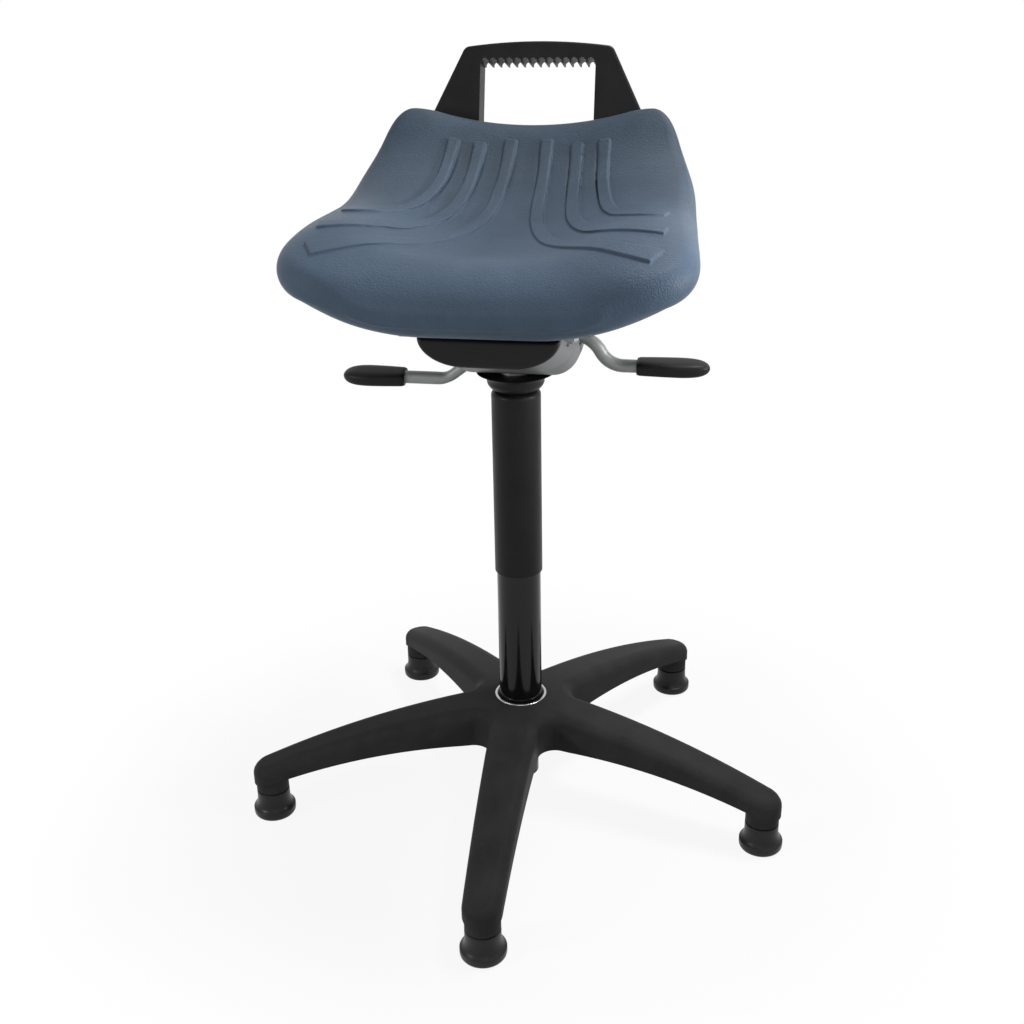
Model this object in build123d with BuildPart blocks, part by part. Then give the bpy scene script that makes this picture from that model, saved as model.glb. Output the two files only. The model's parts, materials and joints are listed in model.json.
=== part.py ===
from build123d import *
import os
from math import asin, cos, radians, sin, tan

os.makedirs("parts", exist_ok=True)

# Swivel stool with a moulded seat, a carrying handle, a gas column and a five-arm base on glides.
# Millimetres. The origin is on the swivel axis at the floor, +Z up, the seat faces -Y.

# Fits
RUNNING = 0.05            # radial clearance of a shaft in a bore
SEAT_FIT = 0.1            # clearance of a part let into another
PLAY = 0.5                # free space beside a lever or under a stop

# Five-arm base
ARM_COUNT = 5
BASE_TURN = 2.2           # degrees of the front arm from -Y towards +X
FOOT_CIRCLE_R = 300.0
ARM_ROOT_W = 60.0
ARM_TIP_W = 41.5
ARM_EDGE_R = 13.0         # rounding of the upper edges
CROTCH_R = 20.0           # rounding between two arms
HUB_TOP_Z = 126.0
HUB_FLAT_R = 36.0
ARM_MID_R = 190.0
ARM_MID_TOP_Z = HUB_TOP_Z - 22.5
ARM_TIP_TOP_Z = HUB_TOP_Z - 58.5
ARM_ROOT_BOTTOM_Z = HUB_TOP_Z - 47.5
ARCH_START_R = 80.0
ARM_MID_BOTTOM_Z = ARM_MID_TOP_Z - 29.5
ARM_TIP_BOTTOM_Z = ARM_TIP_TOP_Z - 20.5
ARM_WALL = 4.5
RIB = 3.0
CELLS_PER_ARM = 5
CELL_START_R = 66.0
BOSS_R = 18.8
BOSS_BOTTOM_Z = ARM_TIP_BOTTOM_Z - 12.0

# Glides
GLIDE_RIM_R = 24.4
GLIDE_RIM_Z = 8.0
GLIDE_EDGE_R = 4.4
GLIDE_LIP = 3.0
STEM_R = 5.5
STEM_IN_GLIDE = 22.0
STEM_IN_ARM = 24.0
STEM_COLLAR_R = 8.0
STEM_COLLAR_H = 3.0

# Steel ring in the hub
RING_R = 30.5
RING_H = 7.0
RING_PROUD = 1.5
RING_FLARE = 3.0

# Height of the tilt housing's underside, which all above the base follows
TUB_BOTTOM_Z = 525.0

# Column
TUBE_R = 25.0
TUBE_WALL = 2.0
TUBE_TOP_Z = 336.0
TUBE_BOTTOM_Z = ARM_ROOT_BOTTOM_Z - 59.5
TUBE_FLOOR = 3.0
TUBE_END_R = 20.4
TUBE_END_Z = ARM_ROOT_BOTTOM_Z - 12.5
TAPER_DROP = 2.0          # radius lost over the tapered length in the hub
BUSH_LENGTH = 84.0
BUSH_FLANGE = 2.0
ROD_R = 5.0
PISTON_H = 14.0
CYLINDER_R = 14.0
CYLINDER_WALL = 1.4
CYLINDER_TOP_Z = TUB_BOTTOM_Z + 45.0
CYLINDER_BOTTOM_Z = CYLINDER_TOP_Z - 352.0
CONE_START_Z = CYLINDER_TOP_Z - 62.0
CYLINDER_HEAD_Z = CONE_START_Z - 8.0  # top of the gas chamber
CONE_DROP = 0.9
GUIDE_H = 22.0
LIFT_UP = 35.0            # travel left above the photographed height
RACE_R = 15.0
RACE_H = 2.0
BALL_R = 1.6
BALL_CIRCLE_R = 10.5
BALL_COUNT = 10
CAGE_H = 1.6
BUFFER_R = 11.0
BUFFER_H = 18.0
CLIP_R = 8.5
CLIP_H = 1.4
ROD_TAIL = 2.5

# Sleeve over the column
SLEEVE_R = 27.0
SLEEVE_WALL = 1.4
SLEEVE_TOP_Z = CONE_START_Z - 3.5
SLEEVE_BOTTOM_Z = SLEEVE_TOP_Z - 213.5
SLEEVE_LID = 6.0
SLEEVE_EDGE_R = 5.0

# Socket and bell under the housing
SOCKET_R = 18.0
BELL_FOOT_R = 20.5
BELL_WAIST_R = 31.0
BELL_WAIST_Z = TUB_BOTTOM_Z - 11.0
BELL_TOP_R = 42.0

# Tilt housing, a pressed steel tub
TUB_HALF_W = 70.0
TUB_WALL = 2.5
TUB_FRONT_Y = -140.0
TUB_BACK_Y = 62.0
TUB_TOP_FRONT_Z = TUB_BOTTOM_Z + 76.0
TUB_TOP_BACK_Z = TUB_BOTTOM_Z + 59.0
TUB_NOSE_Z = TUB_BOTTOM_Z + 47.0  # underside at the front wall
TUB_SLOPE_Y = -12.0       # where the underside begins to rise
TUB_SLOPE_R = 70.0
TUB_REAR_R = 34.0
TUB_CORNER_R = 28.0
COVER_T = 10.0
COVER_HALF_W = 69.0
COVER_TOP_Z = TUB_TOP_FRONT_Z - 1.0
COVER_BOTTOM_Z = TUB_NOSE_Z + 1.0
COVER_CORNER_R = 24.0
COVER_EDGE_R = 5.0

# Tilt axle
AXLE_R = 5.0
AXLE_Y = -97.0
AXLE_Z = TUB_TOP_FRONT_Z - 12.0
AXLE_OVERHANG = 5.0
AXLE_CAP_R = 7.5
AXLE_CAP_H = 2.0
EAR_X = 50.0
EAR_T = 3.0
EAR_R = 11.0
BUSH_WALL = 2.0

# Seat plate and its bolts
PLATE_BOTTOM_Z = AXLE_Z + 20.0
PLATE_T = 3.0
PLATE_HALF_W = 95.0
PLATE_FRONT_Y = -162.0
PLATE_BACK_Y = 40.0
PLATE_CORNER_R = 14.0
PLATE_WINDOW_R = 30.0
BOLT_SPACING_X = 160.0
BOLT_SPACING_Y = 150.0
BOLT_FRONT_Y = -148.0
BOLT_R = 4.0
BOLT_HEAD_R = 7.0
BOLT_HEAD_H = 5.5
WASHER_R = 8.5
WASHER_T = 1.6
NUT_BARREL_R = 6.0
NUT_FLANGE_R = 11.0
NUT_FLANGE_T = 1.5

# Levers, both in the plane of the swivel axis
LEVER_ROD_R = 6.0
LEVER_HUB_HALF = 8.5
LUG_T = 3.0
PIN_R = 3.0
SLOT_ROOM = 3.0           # space round a rod where it leaves the housing
HEIGHT_PIVOT_X = 52.0
HEIGHT_PIVOT_Z = CYLINDER_TOP_Z
HEIGHT_HUB_R = 9.0
HEIGHT_ROD_Z = HEIGHT_PIVOT_Z - 5.0
HEIGHT_BEND_X = 82.0
HEIGHT_LOW_X = 100.0
HEIGHT_LOW_Z = HEIGHT_ROD_Z - 30.0
HEIGHT_PADDLE_X = 130.0
HEIGHT_PADDLE_L = 76.0
HEIGHT_TWIST = -8.0
TONGUE_T = 4.0
TONGUE_HALF = 8.0
TONGUE_TIP_X = -7.0
VALVE_R = 3.0
VALVE_PROUD = 8.0
VALVE_LENGTH = 30.0
VALVE_SPACE = 8.0
TILT_PIVOT_X = -40.0
TILT_PIVOT_Z = TUB_BOTTOM_Z + 16.0
TILT_HUB_R = 8.0
TILT_BEND_X = -75.0
TILT_LOW_Z = TILT_PIVOT_Z - 27.0
TILT_PADDLE_X = -122.0
TILT_PADDLE_L = 70.0
TILT_TWIST = -14.0
TILT_SLOT_IN_X = -43.0
TILT_SLOT_OUT_X = -66.0
ROD_BEND_R = 14.0
ROD_IN_PADDLE = 40.0
PADDLE_W = 30.0
PADDLE_ROOT_W = 24.0
PADDLE_T = 14.0
PADDLE_EDGE_R = 5.0
PADDLE_WIDEST = 34.0      # from the rod end to the widest place
PADDLE_TIP_R = 10.0

# Tilt brake
QUADRANT_X = -54.0
QUADRANT_T = 3.0
QUADRANT_BOTTOM_Z = PLATE_BOTTOM_Z - 57.0
QUADRANT_FRONT_Y = -22.0
QUADRANT_BACK_Y = 28.0
SHOE_HALF = 11.0
SHOE_BOTTOM_Z = TILT_PIVOT_Z + 14.0
SHOE_TOP_Z = SHOE_BOTTOM_Z + 21.0
SHOE_T = 4.0

# Seat
SEAT_BOTTOM_Z = PLATE_BOTTOM_Z + PLATE_T
SHELL_T = 9.0
SHELL_HALF_W = 98.0
SHELL_FRONT_Y = -168.0
REAR_SLOPE = 52.0         # degrees of the seat's rear face from level
REAR_Y = 68.0             # a point of the rear face
REAR_Z = SEAT_BOTTOM_Z + 53.0
SHELL_BEND_R = 25.0
SHELL_TOP_Z = SEAT_BOTTOM_Z + 121.0
LIP_Z = SEAT_BOTTOM_Z + 148.0  # height to which the rear face is cut flat
BAND_LIFT = 2.4
BAND_FORWARD = 1.8
UNDER_FLAT = 50.0         # half the flat of the underside
WING_SHARE = 0.8          # part of the wings' rise reached at the edge of the dish
EDGE_TOP_IN = 0.5         # where the rounded edge starts, in thicknesses from the side
EDGE_LOW_IN = 0.42        # where it ends
EDGE_DROP = 0.95          # and how far down

# Handle
HANDLE_LEAN = 14.3
HANDLE_Y = 149.8
HANDLE_Z = SEAT_BOTTOM_Z + 154.8
HANDLE_DEPTH = 28.0
HANDLE_TOP = 79.5
HANDLE_ARCH = 5.5
HANDLE_TOP_HALF = 82.0
HANDLE_CORNER_R = 9.0
HANDLE_SHOULDER_HALF = 122.0
HANDLE_SHOULDER = -1.0
GRIP_HALF = 64.0
GRIP_TOP = 62.0
GRIP_BOTTOM = -16.0
TOOTH_COUNT = 14
TOOTH_PITCH = 9.0
SCALLOP_R = 3.9
SCALLOP_RISE = 1.6
FOOT_HALF = 76.0
FOOT_LOW_Z = SEAT_BOTTOM_Z + 74.0
FOOT_TOP_Z = FOOT_LOW_Z + 46.0
FOOT_T = 14.0
FOOT_HOLLOW = 8.0
HANDLE_NECK = -28.0
HANDLE_WALL = 6.0
HANDLE_EDGE_R = 3.0
SCREW_R = 3.0
SCREW_HEAD_R = 5.5
SCREW_HEAD_H = 3.3
SCREW_SPACING_X = 110.0
SCREW_SPACING = 26.0
SCREW_BITE = 7.0
SCREW_SEAT = 10.0


def save(piece, label):
    """Name a finished piece and write it."""
    piece.part.label = label
    export_step(piece.part, f"parts/{label}.step")


# Plan of one arm: the lines are tangent to a circle at the centre and to the round tip.
ARM_TAPER = asin((ARM_ROOT_W - ARM_TIP_W) / 2 / FOOT_CIRCLE_R)
START_ANGLE = -90 + BASE_TURN


def arm_half_width(radius):
    """Half the width of an arm at a distance from the centre."""
    return (ARM_ROOT_W / 2 - radius * sin(ARM_TAPER)) / cos(ARM_TAPER)


TIP_R = ARM_TIP_W / 2
TIP_END_R = FOOT_CIRCLE_R + TIP_R
CELL_END_R = FOOT_CIRCLE_R - BOSS_R - ARM_WALL
CELL_PITCH = (CELL_END_R - CELL_START_R + RIB) / CELLS_PER_ARM

# Hollow cells on the underside of the arms, with a rib between each two.
with BuildPart() as arm_cells:
    with BuildSketch(Plane.XZ):
        with BuildLine():
            roof = ThreePointArc(
                (HUB_FLAT_R, HUB_TOP_Z - ARM_WALL),
                (ARM_MID_R, ARM_MID_TOP_Z - ARM_WALL),
                (FOOT_CIRCLE_R, ARM_TIP_TOP_Z - ARM_WALL),
            )
            Polyline(roof @ 1, (FOOT_CIRCLE_R, 0), (HUB_FLAT_R, 0), roof @ 0)
        make_face()
    revolve(axis=Axis.Z)
    with BuildSketch():
        with PolarLocations(0, ARM_COUNT, start_angle=START_ANGLE):
            for cell in range(CELLS_PER_ARM):
                inner = CELL_START_R + cell * CELL_PITCH
                outer = inner + CELL_PITCH - RIB
                wide = arm_half_width(inner) - ARM_WALL
                narrow = arm_half_width(outer) - ARM_WALL
                Polygon((inner, -wide), (outer, -narrow), (outer, narrow), (inner, wide), align=None)
    extrude(amount=HUB_TOP_Z, mode=Mode.INTERSECT)

TAPER_TOP_Z = HUB_TOP_Z - RING_H + RING_PROUD
TUBE_TAPER_END_R = TUBE_R - TAPER_DROP

with BuildPart() as star_base:
    with BuildSketch(Plane.XZ):
        with BuildLine():
            crown = ThreePointArc(
                (HUB_FLAT_R, HUB_TOP_Z),
                (ARM_MID_R, ARM_MID_TOP_Z),
                (TIP_END_R + TIP_R, ARM_TIP_TOP_Z - TIP_R / 2),
            )
            arch = ThreePointArc(
                (TIP_END_R + TIP_R, ARM_TIP_BOTTOM_Z - TIP_R / 2),
                (ARM_MID_R, ARM_MID_BOTTOM_Z),
                (ARCH_START_R, ARM_ROOT_BOTTOM_Z),
            )
            Line(crown @ 1, arch @ 0)
            Polyline(arch @ 1, (0, ARM_ROOT_BOTTOM_Z), (0, HUB_TOP_Z), crown @ 0)
        make_face()
    revolve(axis=Axis.Z)
    with BuildSketch() as star_plan:
        with PolarLocations(0, ARM_COUNT, start_angle=START_ANGLE):
            Polygon(
                (0, -arm_half_width(0)),
                (FOOT_CIRCLE_R + TIP_R * sin(ARM_TAPER), -TIP_R * cos(ARM_TAPER)),
                (FOOT_CIRCLE_R + TIP_R * sin(ARM_TAPER), TIP_R * cos(ARM_TAPER)),
                (0, arm_half_width(0)),
                align=None,
            )
        with PolarLocations(FOOT_CIRCLE_R, ARM_COUNT, start_angle=START_ANGLE):
            Circle(TIP_R)
        crotches = star_plan.vertices().filter_by(lambda corner: corner.X**2 + corner.Y**2 < ARM_ROOT_W**2)
        fillet(crotches, CROTCH_R)
    extrude(amount=2 * HUB_TOP_Z, mode=Mode.INTERSECT)
    crown_face = star_base.faces().filter_by(GeomType.REVOLUTION).sort_by(Axis.Z)[-1]
    fillet(crown_face.edges().filter_by(GeomType.CIRCLE, reverse=True), ARM_EDGE_R)
    add(arm_cells.part, mode=Mode.SUBTRACT)
    with BuildSketch(Plane.XY.offset(BOSS_BOTTOM_Z)):
        with PolarLocations(FOOT_CIRCLE_R, ARM_COUNT, start_angle=START_ANGLE):
            Circle(BOSS_R)
    extrude(amount=STEM_IN_ARM)
    with BuildSketch(Plane.XY.offset(BOSS_BOTTOM_Z)):
        with PolarLocations(FOOT_CIRCLE_R, ARM_COUNT, start_angle=START_ANGLE):
            Circle(STEM_R + RUNNING)
    extrude(amount=STEM_IN_ARM, mode=Mode.SUBTRACT)
    with BuildSketch(Plane.XY.offset(TAPER_TOP_Z)):
        Circle(RING_R + RUNNING)
    extrude(amount=RING_H, mode=Mode.SUBTRACT)
    with BuildSketch(Plane.XZ):
        Polygon(
            (0, ARM_ROOT_BOTTOM_Z),
            (TUBE_TAPER_END_R + RUNNING, ARM_ROOT_BOTTOM_Z),
            (TUBE_R + RUNNING, TAPER_TOP_Z),
            (0, TAPER_TOP_Z),
            align=None,
        )
    revolve(axis=Axis.Z, mode=Mode.SUBTRACT)
save(star_base, "star_base")

# Bright steel ring round the mouth of the hub.
with BuildPart() as hub_ring:
    with BuildSketch(Plane.XZ):
        Polygon(
            (TUBE_R + SEAT_FIT, TAPER_TOP_Z),
            (RING_R, TAPER_TOP_Z),
            (RING_R, TAPER_TOP_Z + RING_H),
            (TUBE_R + RING_FLARE, TAPER_TOP_Z + RING_H),
            (TUBE_R + SEAT_FIT, TAPER_TOP_Z + RING_H - RING_FLARE),
            align=None,
        )
    revolve(axis=Axis.Z)
    fillet(hub_ring.edges().group_by(Axis.Z)[-1].sort_by(SortBy.RADIUS)[-1], RING_PROUD / 2)
save(hub_ring, "hub_ring")

# Glides and their steel stems, one of each under every arm.
for arm in range(ARM_COUNT):
    angle = radians(START_ANGLE + arm * 360 / ARM_COUNT)
    foot = (FOOT_CIRCLE_R * cos(angle), FOOT_CIRCLE_R * sin(angle), 0)
    under_arm = Plane(foot, x_dir=(1, 0, 0), z_dir=(0, -1, 0))
    with BuildPart() as glide:
        with BuildSketch(under_arm):
            with BuildLine():
                sole = Line((0, 0), (GLIDE_RIM_R - GLIDE_EDGE_R, 0))
                heel = TangentArc(sole @ 1, (GLIDE_RIM_R, GLIDE_EDGE_R), tangent=(1, 0))
                rim = Line(heel @ 1, (GLIDE_RIM_R, GLIDE_RIM_Z))
                lip = Line(rim @ 1, (GLIDE_RIM_R - GLIDE_LIP / 4, GLIDE_RIM_Z + GLIDE_LIP))
                flare = ThreePointArc(
                    lip @ 1,
                    (BOSS_R + GLIDE_LIP / 3, (GLIDE_RIM_Z + BOSS_BOTTOM_Z) / 2),
                    (BOSS_R, BOSS_BOTTOM_Z),
                )
                Polyline(
                    flare @ 1,
                    (STEM_R, BOSS_BOTTOM_Z),
                    (STEM_R, BOSS_BOTTOM_Z - STEM_IN_GLIDE + STEM_COLLAR_H),
                    (STEM_COLLAR_R, BOSS_BOTTOM_Z - STEM_IN_GLIDE + STEM_COLLAR_H),
                    (STEM_COLLAR_R, BOSS_BOTTOM_Z - STEM_IN_GLIDE),
                    (0, BOSS_BOTTOM_Z - STEM_IN_GLIDE),
                    sole @ 0,
                )
            make_face()
        revolve(axis=Axis(foot, (0, 0, 1)))
    save(glide, f"glide_{arm + 1}")
    with BuildPart() as glide_stem:
        with BuildSketch(Plane(foot).offset(BOSS_BOTTOM_Z - STEM_IN_GLIDE)):
            Circle(STEM_R)
        extrude(amount=STEM_IN_GLIDE + STEM_IN_ARM - PLAY)
        chamfer(glide_stem.edges().sort_by(Axis.Z)[-1], STEM_R / 5)
        with BuildSketch(Plane(foot).offset(BOSS_BOTTOM_Z - STEM_IN_GLIDE)):
            Circle(STEM_COLLAR_R)
        extrude(amount=STEM_COLLAR_H)
    save(glide_stem, f"glide_stem_{arm + 1}")

# Stand tube: tapered into the hub, with a narrow closed end below it.
TUBE_BORE_R = TUBE_R - TUBE_WALL
FLOOR_Z = TUBE_BOTTOM_Z + TUBE_FLOOR
with BuildPart() as stand_tube:
    with BuildSketch(Plane.XZ):
        Polygon(
            (ROD_R + RUNNING, TUBE_BOTTOM_Z),
            (TUBE_END_R, TUBE_BOTTOM_Z),
            (TUBE_END_R, TUBE_END_Z),
            (TUBE_TAPER_END_R, ARM_ROOT_BOTTOM_Z),
            (TUBE_R, TAPER_TOP_Z),
            (TUBE_R, TUBE_TOP_Z),
            (TUBE_BORE_R, TUBE_TOP_Z),
            (TUBE_BORE_R, TAPER_TOP_Z),
            (TUBE_END_R - TUBE_WALL, TUBE_END_Z),
            (TUBE_END_R - TUBE_WALL, FLOOR_Z),
            (ROD_R + RUNNING, FLOOR_Z),
            align=None,
        )
    revolve(axis=Axis.Z)
    fillet(stand_tube.edges().group_by(Axis.Z)[0].sort_by(SortBy.RADIUS)[-1], TUBE_WALL)
save(stand_tube, "stand_tube")

# Long plastic guide in the top of the tube.
with BuildPart() as guide_bush:
    with BuildSketch(Plane.XZ):
        Polygon(
            (CYLINDER_R + RUNNING, TUBE_TOP_Z - BUSH_LENGTH),
            (TUBE_BORE_R - RUNNING, TUBE_TOP_Z - BUSH_LENGTH),
            (TUBE_BORE_R - RUNNING, TUBE_TOP_Z),
            (TUBE_R - RUNNING, TUBE_TOP_Z),
            (TUBE_R - RUNNING, TUBE_TOP_Z + BUSH_FLANGE),
            (CYLINDER_R + RUNNING, TUBE_TOP_Z + BUSH_FLANGE),
            align=None,
        )
    revolve(axis=Axis.Z)
save(guide_bush, "guide_bush")

# Thrust bearing under the piston rod: lower race, caged balls, upper race.
LOWER_RACE_Z = FLOOR_Z
BALL_Z = LOWER_RACE_Z + RACE_H + BALL_R
UPPER_RACE_Z = BALL_Z + BALL_R + PLAY


def race(height):
    """A flat bearing washer round the rod, standing on a height."""
    with BuildPart() as washer:
        with BuildSketch(Plane.XY.offset(height)):
            Circle(RACE_R)
            Circle(ROD_R + RUNNING, mode=Mode.SUBTRACT)
        extrude(amount=RACE_H)
    return washer


lower_race = race(LOWER_RACE_Z)
save(lower_race, "lower_race")

with BuildPart() as ball_cage:
    with BuildSketch(Plane.XY.offset(BALL_Z - CAGE_H / 2)):
        Circle(RACE_R - CAGE_H)
        Circle(ROD_R + CAGE_H, mode=Mode.SUBTRACT)
    extrude(amount=CAGE_H)
    with Locations((0, 0, BALL_Z)):
        with PolarLocations(BALL_CIRCLE_R, BALL_COUNT):
            Sphere(BALL_R)
save(ball_cage, "ball_cage")

upper_race = race(UPPER_RACE_Z)
save(upper_race, "upper_race")

# Piston rod, with its piston, rubber buffer and the clip that holds it in the tube.
BUFFER_Z = UPPER_RACE_Z + RACE_H
PISTON_Z = CYLINDER_BOTTOM_Z + LIFT_UP + GUIDE_H + PLAY
CLIP_Z = TUBE_BOTTOM_Z - PLAY - CLIP_H
ROD_BOTTOM_Z = CLIP_Z - ROD_TAIL
CYLINDER_BORE_R = CYLINDER_R - CYLINDER_WALL
with BuildPart() as piston_rod:
    with BuildSketch(Plane.XY.offset(ROD_BOTTOM_Z)):
        Circle(ROD_R)
    extrude(amount=PISTON_Z - ROD_BOTTOM_Z)
    with BuildSketch(Plane.XY.offset(CLIP_Z)):
        Circle(ROD_R)
        Circle(ROD_R - RING_PROUD, mode=Mode.SUBTRACT)
    extrude(amount=CLIP_H, mode=Mode.SUBTRACT)
save(piston_rod, "piston_rod")

with BuildPart() as piston:
    with BuildSketch(Plane.XY.offset(PISTON_Z)):
        Circle(CYLINDER_BORE_R - RUNNING)
    extrude(amount=PISTON_H)
    chamfer(piston.edges().filter_by(GeomType.CIRCLE), PISTON_H / 10)
save(piston, "piston")

with BuildPart() as buffer:
    with BuildSketch(Plane.XY.offset(BUFFER_Z)):
        Circle(BUFFER_R)
        Circle(ROD_R + RUNNING, mode=Mode.SUBTRACT)
    extrude(amount=BUFFER_H)
    chamfer(buffer.edges().group_by(Axis.Z)[-1].sort_by(SortBy.RADIUS)[-1], BUFFER_R / 4)
save(buffer, "buffer")

with BuildPart() as rod_clip:
    with BuildSketch(Plane.XY.offset(CLIP_Z)):
        Circle(CLIP_R)
        Circle(ROD_R - RING_PROUD, mode=Mode.SUBTRACT)
        with Locations((CLIP_R / 2, 0)):
            Rectangle(CLIP_R, ROD_R, mode=Mode.SUBTRACT)
    extrude(amount=CLIP_H)
save(rod_clip, "rod_clip")

# Gas cylinder with its cone, and the guide that closes its lower end.
CONE_TOP_R = CYLINDER_R - CONE_DROP
VALVE_BOTTOM_Z = CYLINDER_TOP_Z + VALVE_PROUD - VALVE_LENGTH
with BuildPart() as gas_cylinder:
    with BuildSketch(Plane.XZ):
        Polygon(
            (CYLINDER_BORE_R, CYLINDER_BOTTOM_Z),
            (CYLINDER_R, CYLINDER_BOTTOM_Z),
            (CYLINDER_R, CONE_START_Z),
            (CONE_TOP_R, CYLINDER_TOP_Z),
            (VALVE_R + RUNNING, CYLINDER_TOP_Z),
            (VALVE_R + RUNNING, VALVE_BOTTOM_Z - VALVE_SPACE),
            (0, VALVE_BOTTOM_Z - VALVE_SPACE),
            (0, CYLINDER_HEAD_Z),
            (CYLINDER_BORE_R, CYLINDER_HEAD_Z),
            align=None,
        )
    revolve(axis=Axis.Z)
save(gas_cylinder, "gas_cylinder")

with BuildPart() as rod_guide:
    with BuildSketch(Plane.XY.offset(CYLINDER_BOTTOM_Z)):
        Circle(CYLINDER_BORE_R - RUNNING)
        Circle(ROD_R + RUNNING, mode=Mode.SUBTRACT)
    extrude(amount=GUIDE_H)
save(rod_guide, "rod_guide")

with BuildPart() as valve_pin:
    with BuildSketch(Plane.XY.offset(VALVE_BOTTOM_Z)):
        Circle(VALVE_R)
    extrude(amount=VALVE_LENGTH)
    chamfer(valve_pin.edges().filter_by(GeomType.CIRCLE), VALVE_R / 5)
save(valve_pin, "valve_pin")

# Sleeve that hides the column.
with BuildPart() as sleeve:
    with BuildSketch(Plane.XZ):
        Polygon(
            (SLEEVE_R - SLEEVE_WALL, SLEEVE_BOTTOM_Z),
            (SLEEVE_R, SLEEVE_BOTTOM_Z),
            (SLEEVE_R, SLEEVE_TOP_Z),
            (CYLINDER_R + RUNNING, SLEEVE_TOP_Z),
            (CYLINDER_R + RUNNING, SLEEVE_TOP_Z - SLEEVE_LID),
            (SLEEVE_R - SLEEVE_WALL, SLEEVE_TOP_Z - SLEEVE_LID),
            align=None,
        )
    revolve(axis=Axis.Z)
    fillet(sleeve.edges().group_by(Axis.Z)[-1].sort_by(SortBy.RADIUS)[-1], SLEEVE_EDGE_R)
save(sleeve, "sleeve")

# Steel socket that takes the cone, and the moulded bell round it.
with BuildPart() as cone_socket:
    with BuildSketch(Plane.XZ):
        Polygon(
            (CYLINDER_R + RUNNING, CONE_START_Z),
            (SOCKET_R, CONE_START_Z),
            (SOCKET_R, CYLINDER_TOP_Z),
            (CONE_TOP_R + RUNNING, CYLINDER_TOP_Z),
            align=None,
        )
    revolve(axis=Axis.Z)
save(cone_socket, "cone_socket")

with BuildPart() as bell:
    with BuildSketch(Plane.XZ):
        with BuildLine():
            foot = Line((CYLINDER_R + SEAT_FIT, SLEEVE_TOP_Z), (BELL_FOOT_R, SLEEVE_TOP_Z))
            belly = ThreePointArc(
                foot @ 1,
                (BELL_WAIST_R - (BELL_WAIST_R - BELL_FOOT_R) / 4, (SLEEVE_TOP_Z + BELL_WAIST_Z) / 2),
                (BELL_WAIST_R, BELL_WAIST_Z),
            )
            brim = TangentArc(belly @ 1, (BELL_TOP_R, TUB_BOTTOM_Z), tangent=(0, 1))
            Polyline(
                brim @ 1,
                (SOCKET_R + SEAT_FIT, TUB_BOTTOM_Z),
                (SOCKET_R + SEAT_FIT, CONE_START_Z),
                (CYLINDER_R + SEAT_FIT, CONE_START_Z),
                foot @ 0,
            )
        make_face()
    revolve(axis=Axis.Z)
save(bell, "bell")

# Tilt housing: a pressed tub, open at the top.
HEIGHT_SLOT_TOP_Z = HEIGHT_ROD_Z + LEVER_ROD_R + SLOT_ROOM
HEIGHT_SLOT_BOTTOM_Z = HEIGHT_ROD_Z - LEVER_ROD_R - SLOT_ROOM / 2
with BuildPart() as tilt_housing:
    with BuildSketch(Plane.YZ):
        with BuildLine():
            front = Line((TUB_FRONT_Y, TUB_TOP_FRONT_Z), (TUB_FRONT_Y, TUB_NOSE_Z))
            under = FilletPolyline(
                front @ 1,
                (TUB_SLOPE_Y, TUB_BOTTOM_Z),
                (TUB_BACK_Y - TUB_REAR_R, TUB_BOTTOM_Z),
                radius=TUB_SLOPE_R,
            )
            rear = TangentArc(under @ 1, (TUB_BACK_Y, TUB_BOTTOM_Z + TUB_REAR_R), tangent=(1, 0))
            Polyline(rear @ 1, (TUB_BACK_Y, TUB_TOP_BACK_Z), front @ 0)
        make_face()
    extrude(amount=TUB_HALF_W, both=True)
    side_faces = tilt_housing.faces().filter_by(Axis.X)
    lower_edges = side_faces.edges().filter_by(
        lambda edge: edge.center().Z < TUB_NOSE_Z and abs(edge.center().Y - TUB_FRONT_Y) > 1
    )
    fillet(lower_edges, TUB_CORNER_R)
    offset(amount=-TUB_WALL, openings=tilt_housing.faces().sort_by(Axis.Z)[-1])
    with BuildSketch(Plane.XY.offset(TUB_BOTTOM_Z)):
        Circle(SOCKET_R + RUNNING)
    extrude(amount=TUB_CORNER_R / 2, mode=Mode.SUBTRACT)
    with BuildSketch(Plane.YZ):
        with Locations((AXLE_Y, AXLE_Z)):
            Circle(AXLE_R + RUNNING)
    extrude(amount=2 * TUB_HALF_W, both=True, mode=Mode.SUBTRACT)
    with BuildSketch(Plane.YZ):
        with Locations((0, (HEIGHT_SLOT_TOP_Z + HEIGHT_SLOT_BOTTOM_Z) / 2)):
            Rectangle(2 * LEVER_HUB_HALF, HEIGHT_SLOT_TOP_Z - HEIGHT_SLOT_BOTTOM_Z)
    extrude(amount=2 * TUB_HALF_W, mode=Mode.SUBTRACT)
    with BuildSketch(Plane.XY.offset(TUB_BOTTOM_Z - TUB_CORNER_R)):
        with Locations(((TILT_SLOT_IN_X + TILT_SLOT_OUT_X) / 2, 0)):
            Rectangle(TILT_SLOT_IN_X - TILT_SLOT_OUT_X, 2 * LEVER_HUB_HALF)
    extrude(amount=2 * TUB_CORNER_R, mode=Mode.SUBTRACT)
save(tilt_housing, "tilt_housing")

# Black moulded cover on the housing's front wall.
with BuildPart() as front_cover:
    with BuildSketch(Plane.XZ.offset(-TUB_FRONT_Y)) as cover_face:
        with Locations((0, (COVER_TOP_Z + COVER_BOTTOM_Z) / 2)):
            Rectangle(2 * COVER_HALF_W, COVER_TOP_Z - COVER_BOTTOM_Z)
        fillet(cover_face.vertices().group_by(Axis.Y)[0], COVER_CORNER_R)
    extrude(amount=COVER_T)
    fillet(front_cover.faces().sort_by(Axis.Y)[0].edges(), COVER_EDGE_R)
save(front_cover, "front_cover")

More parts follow.
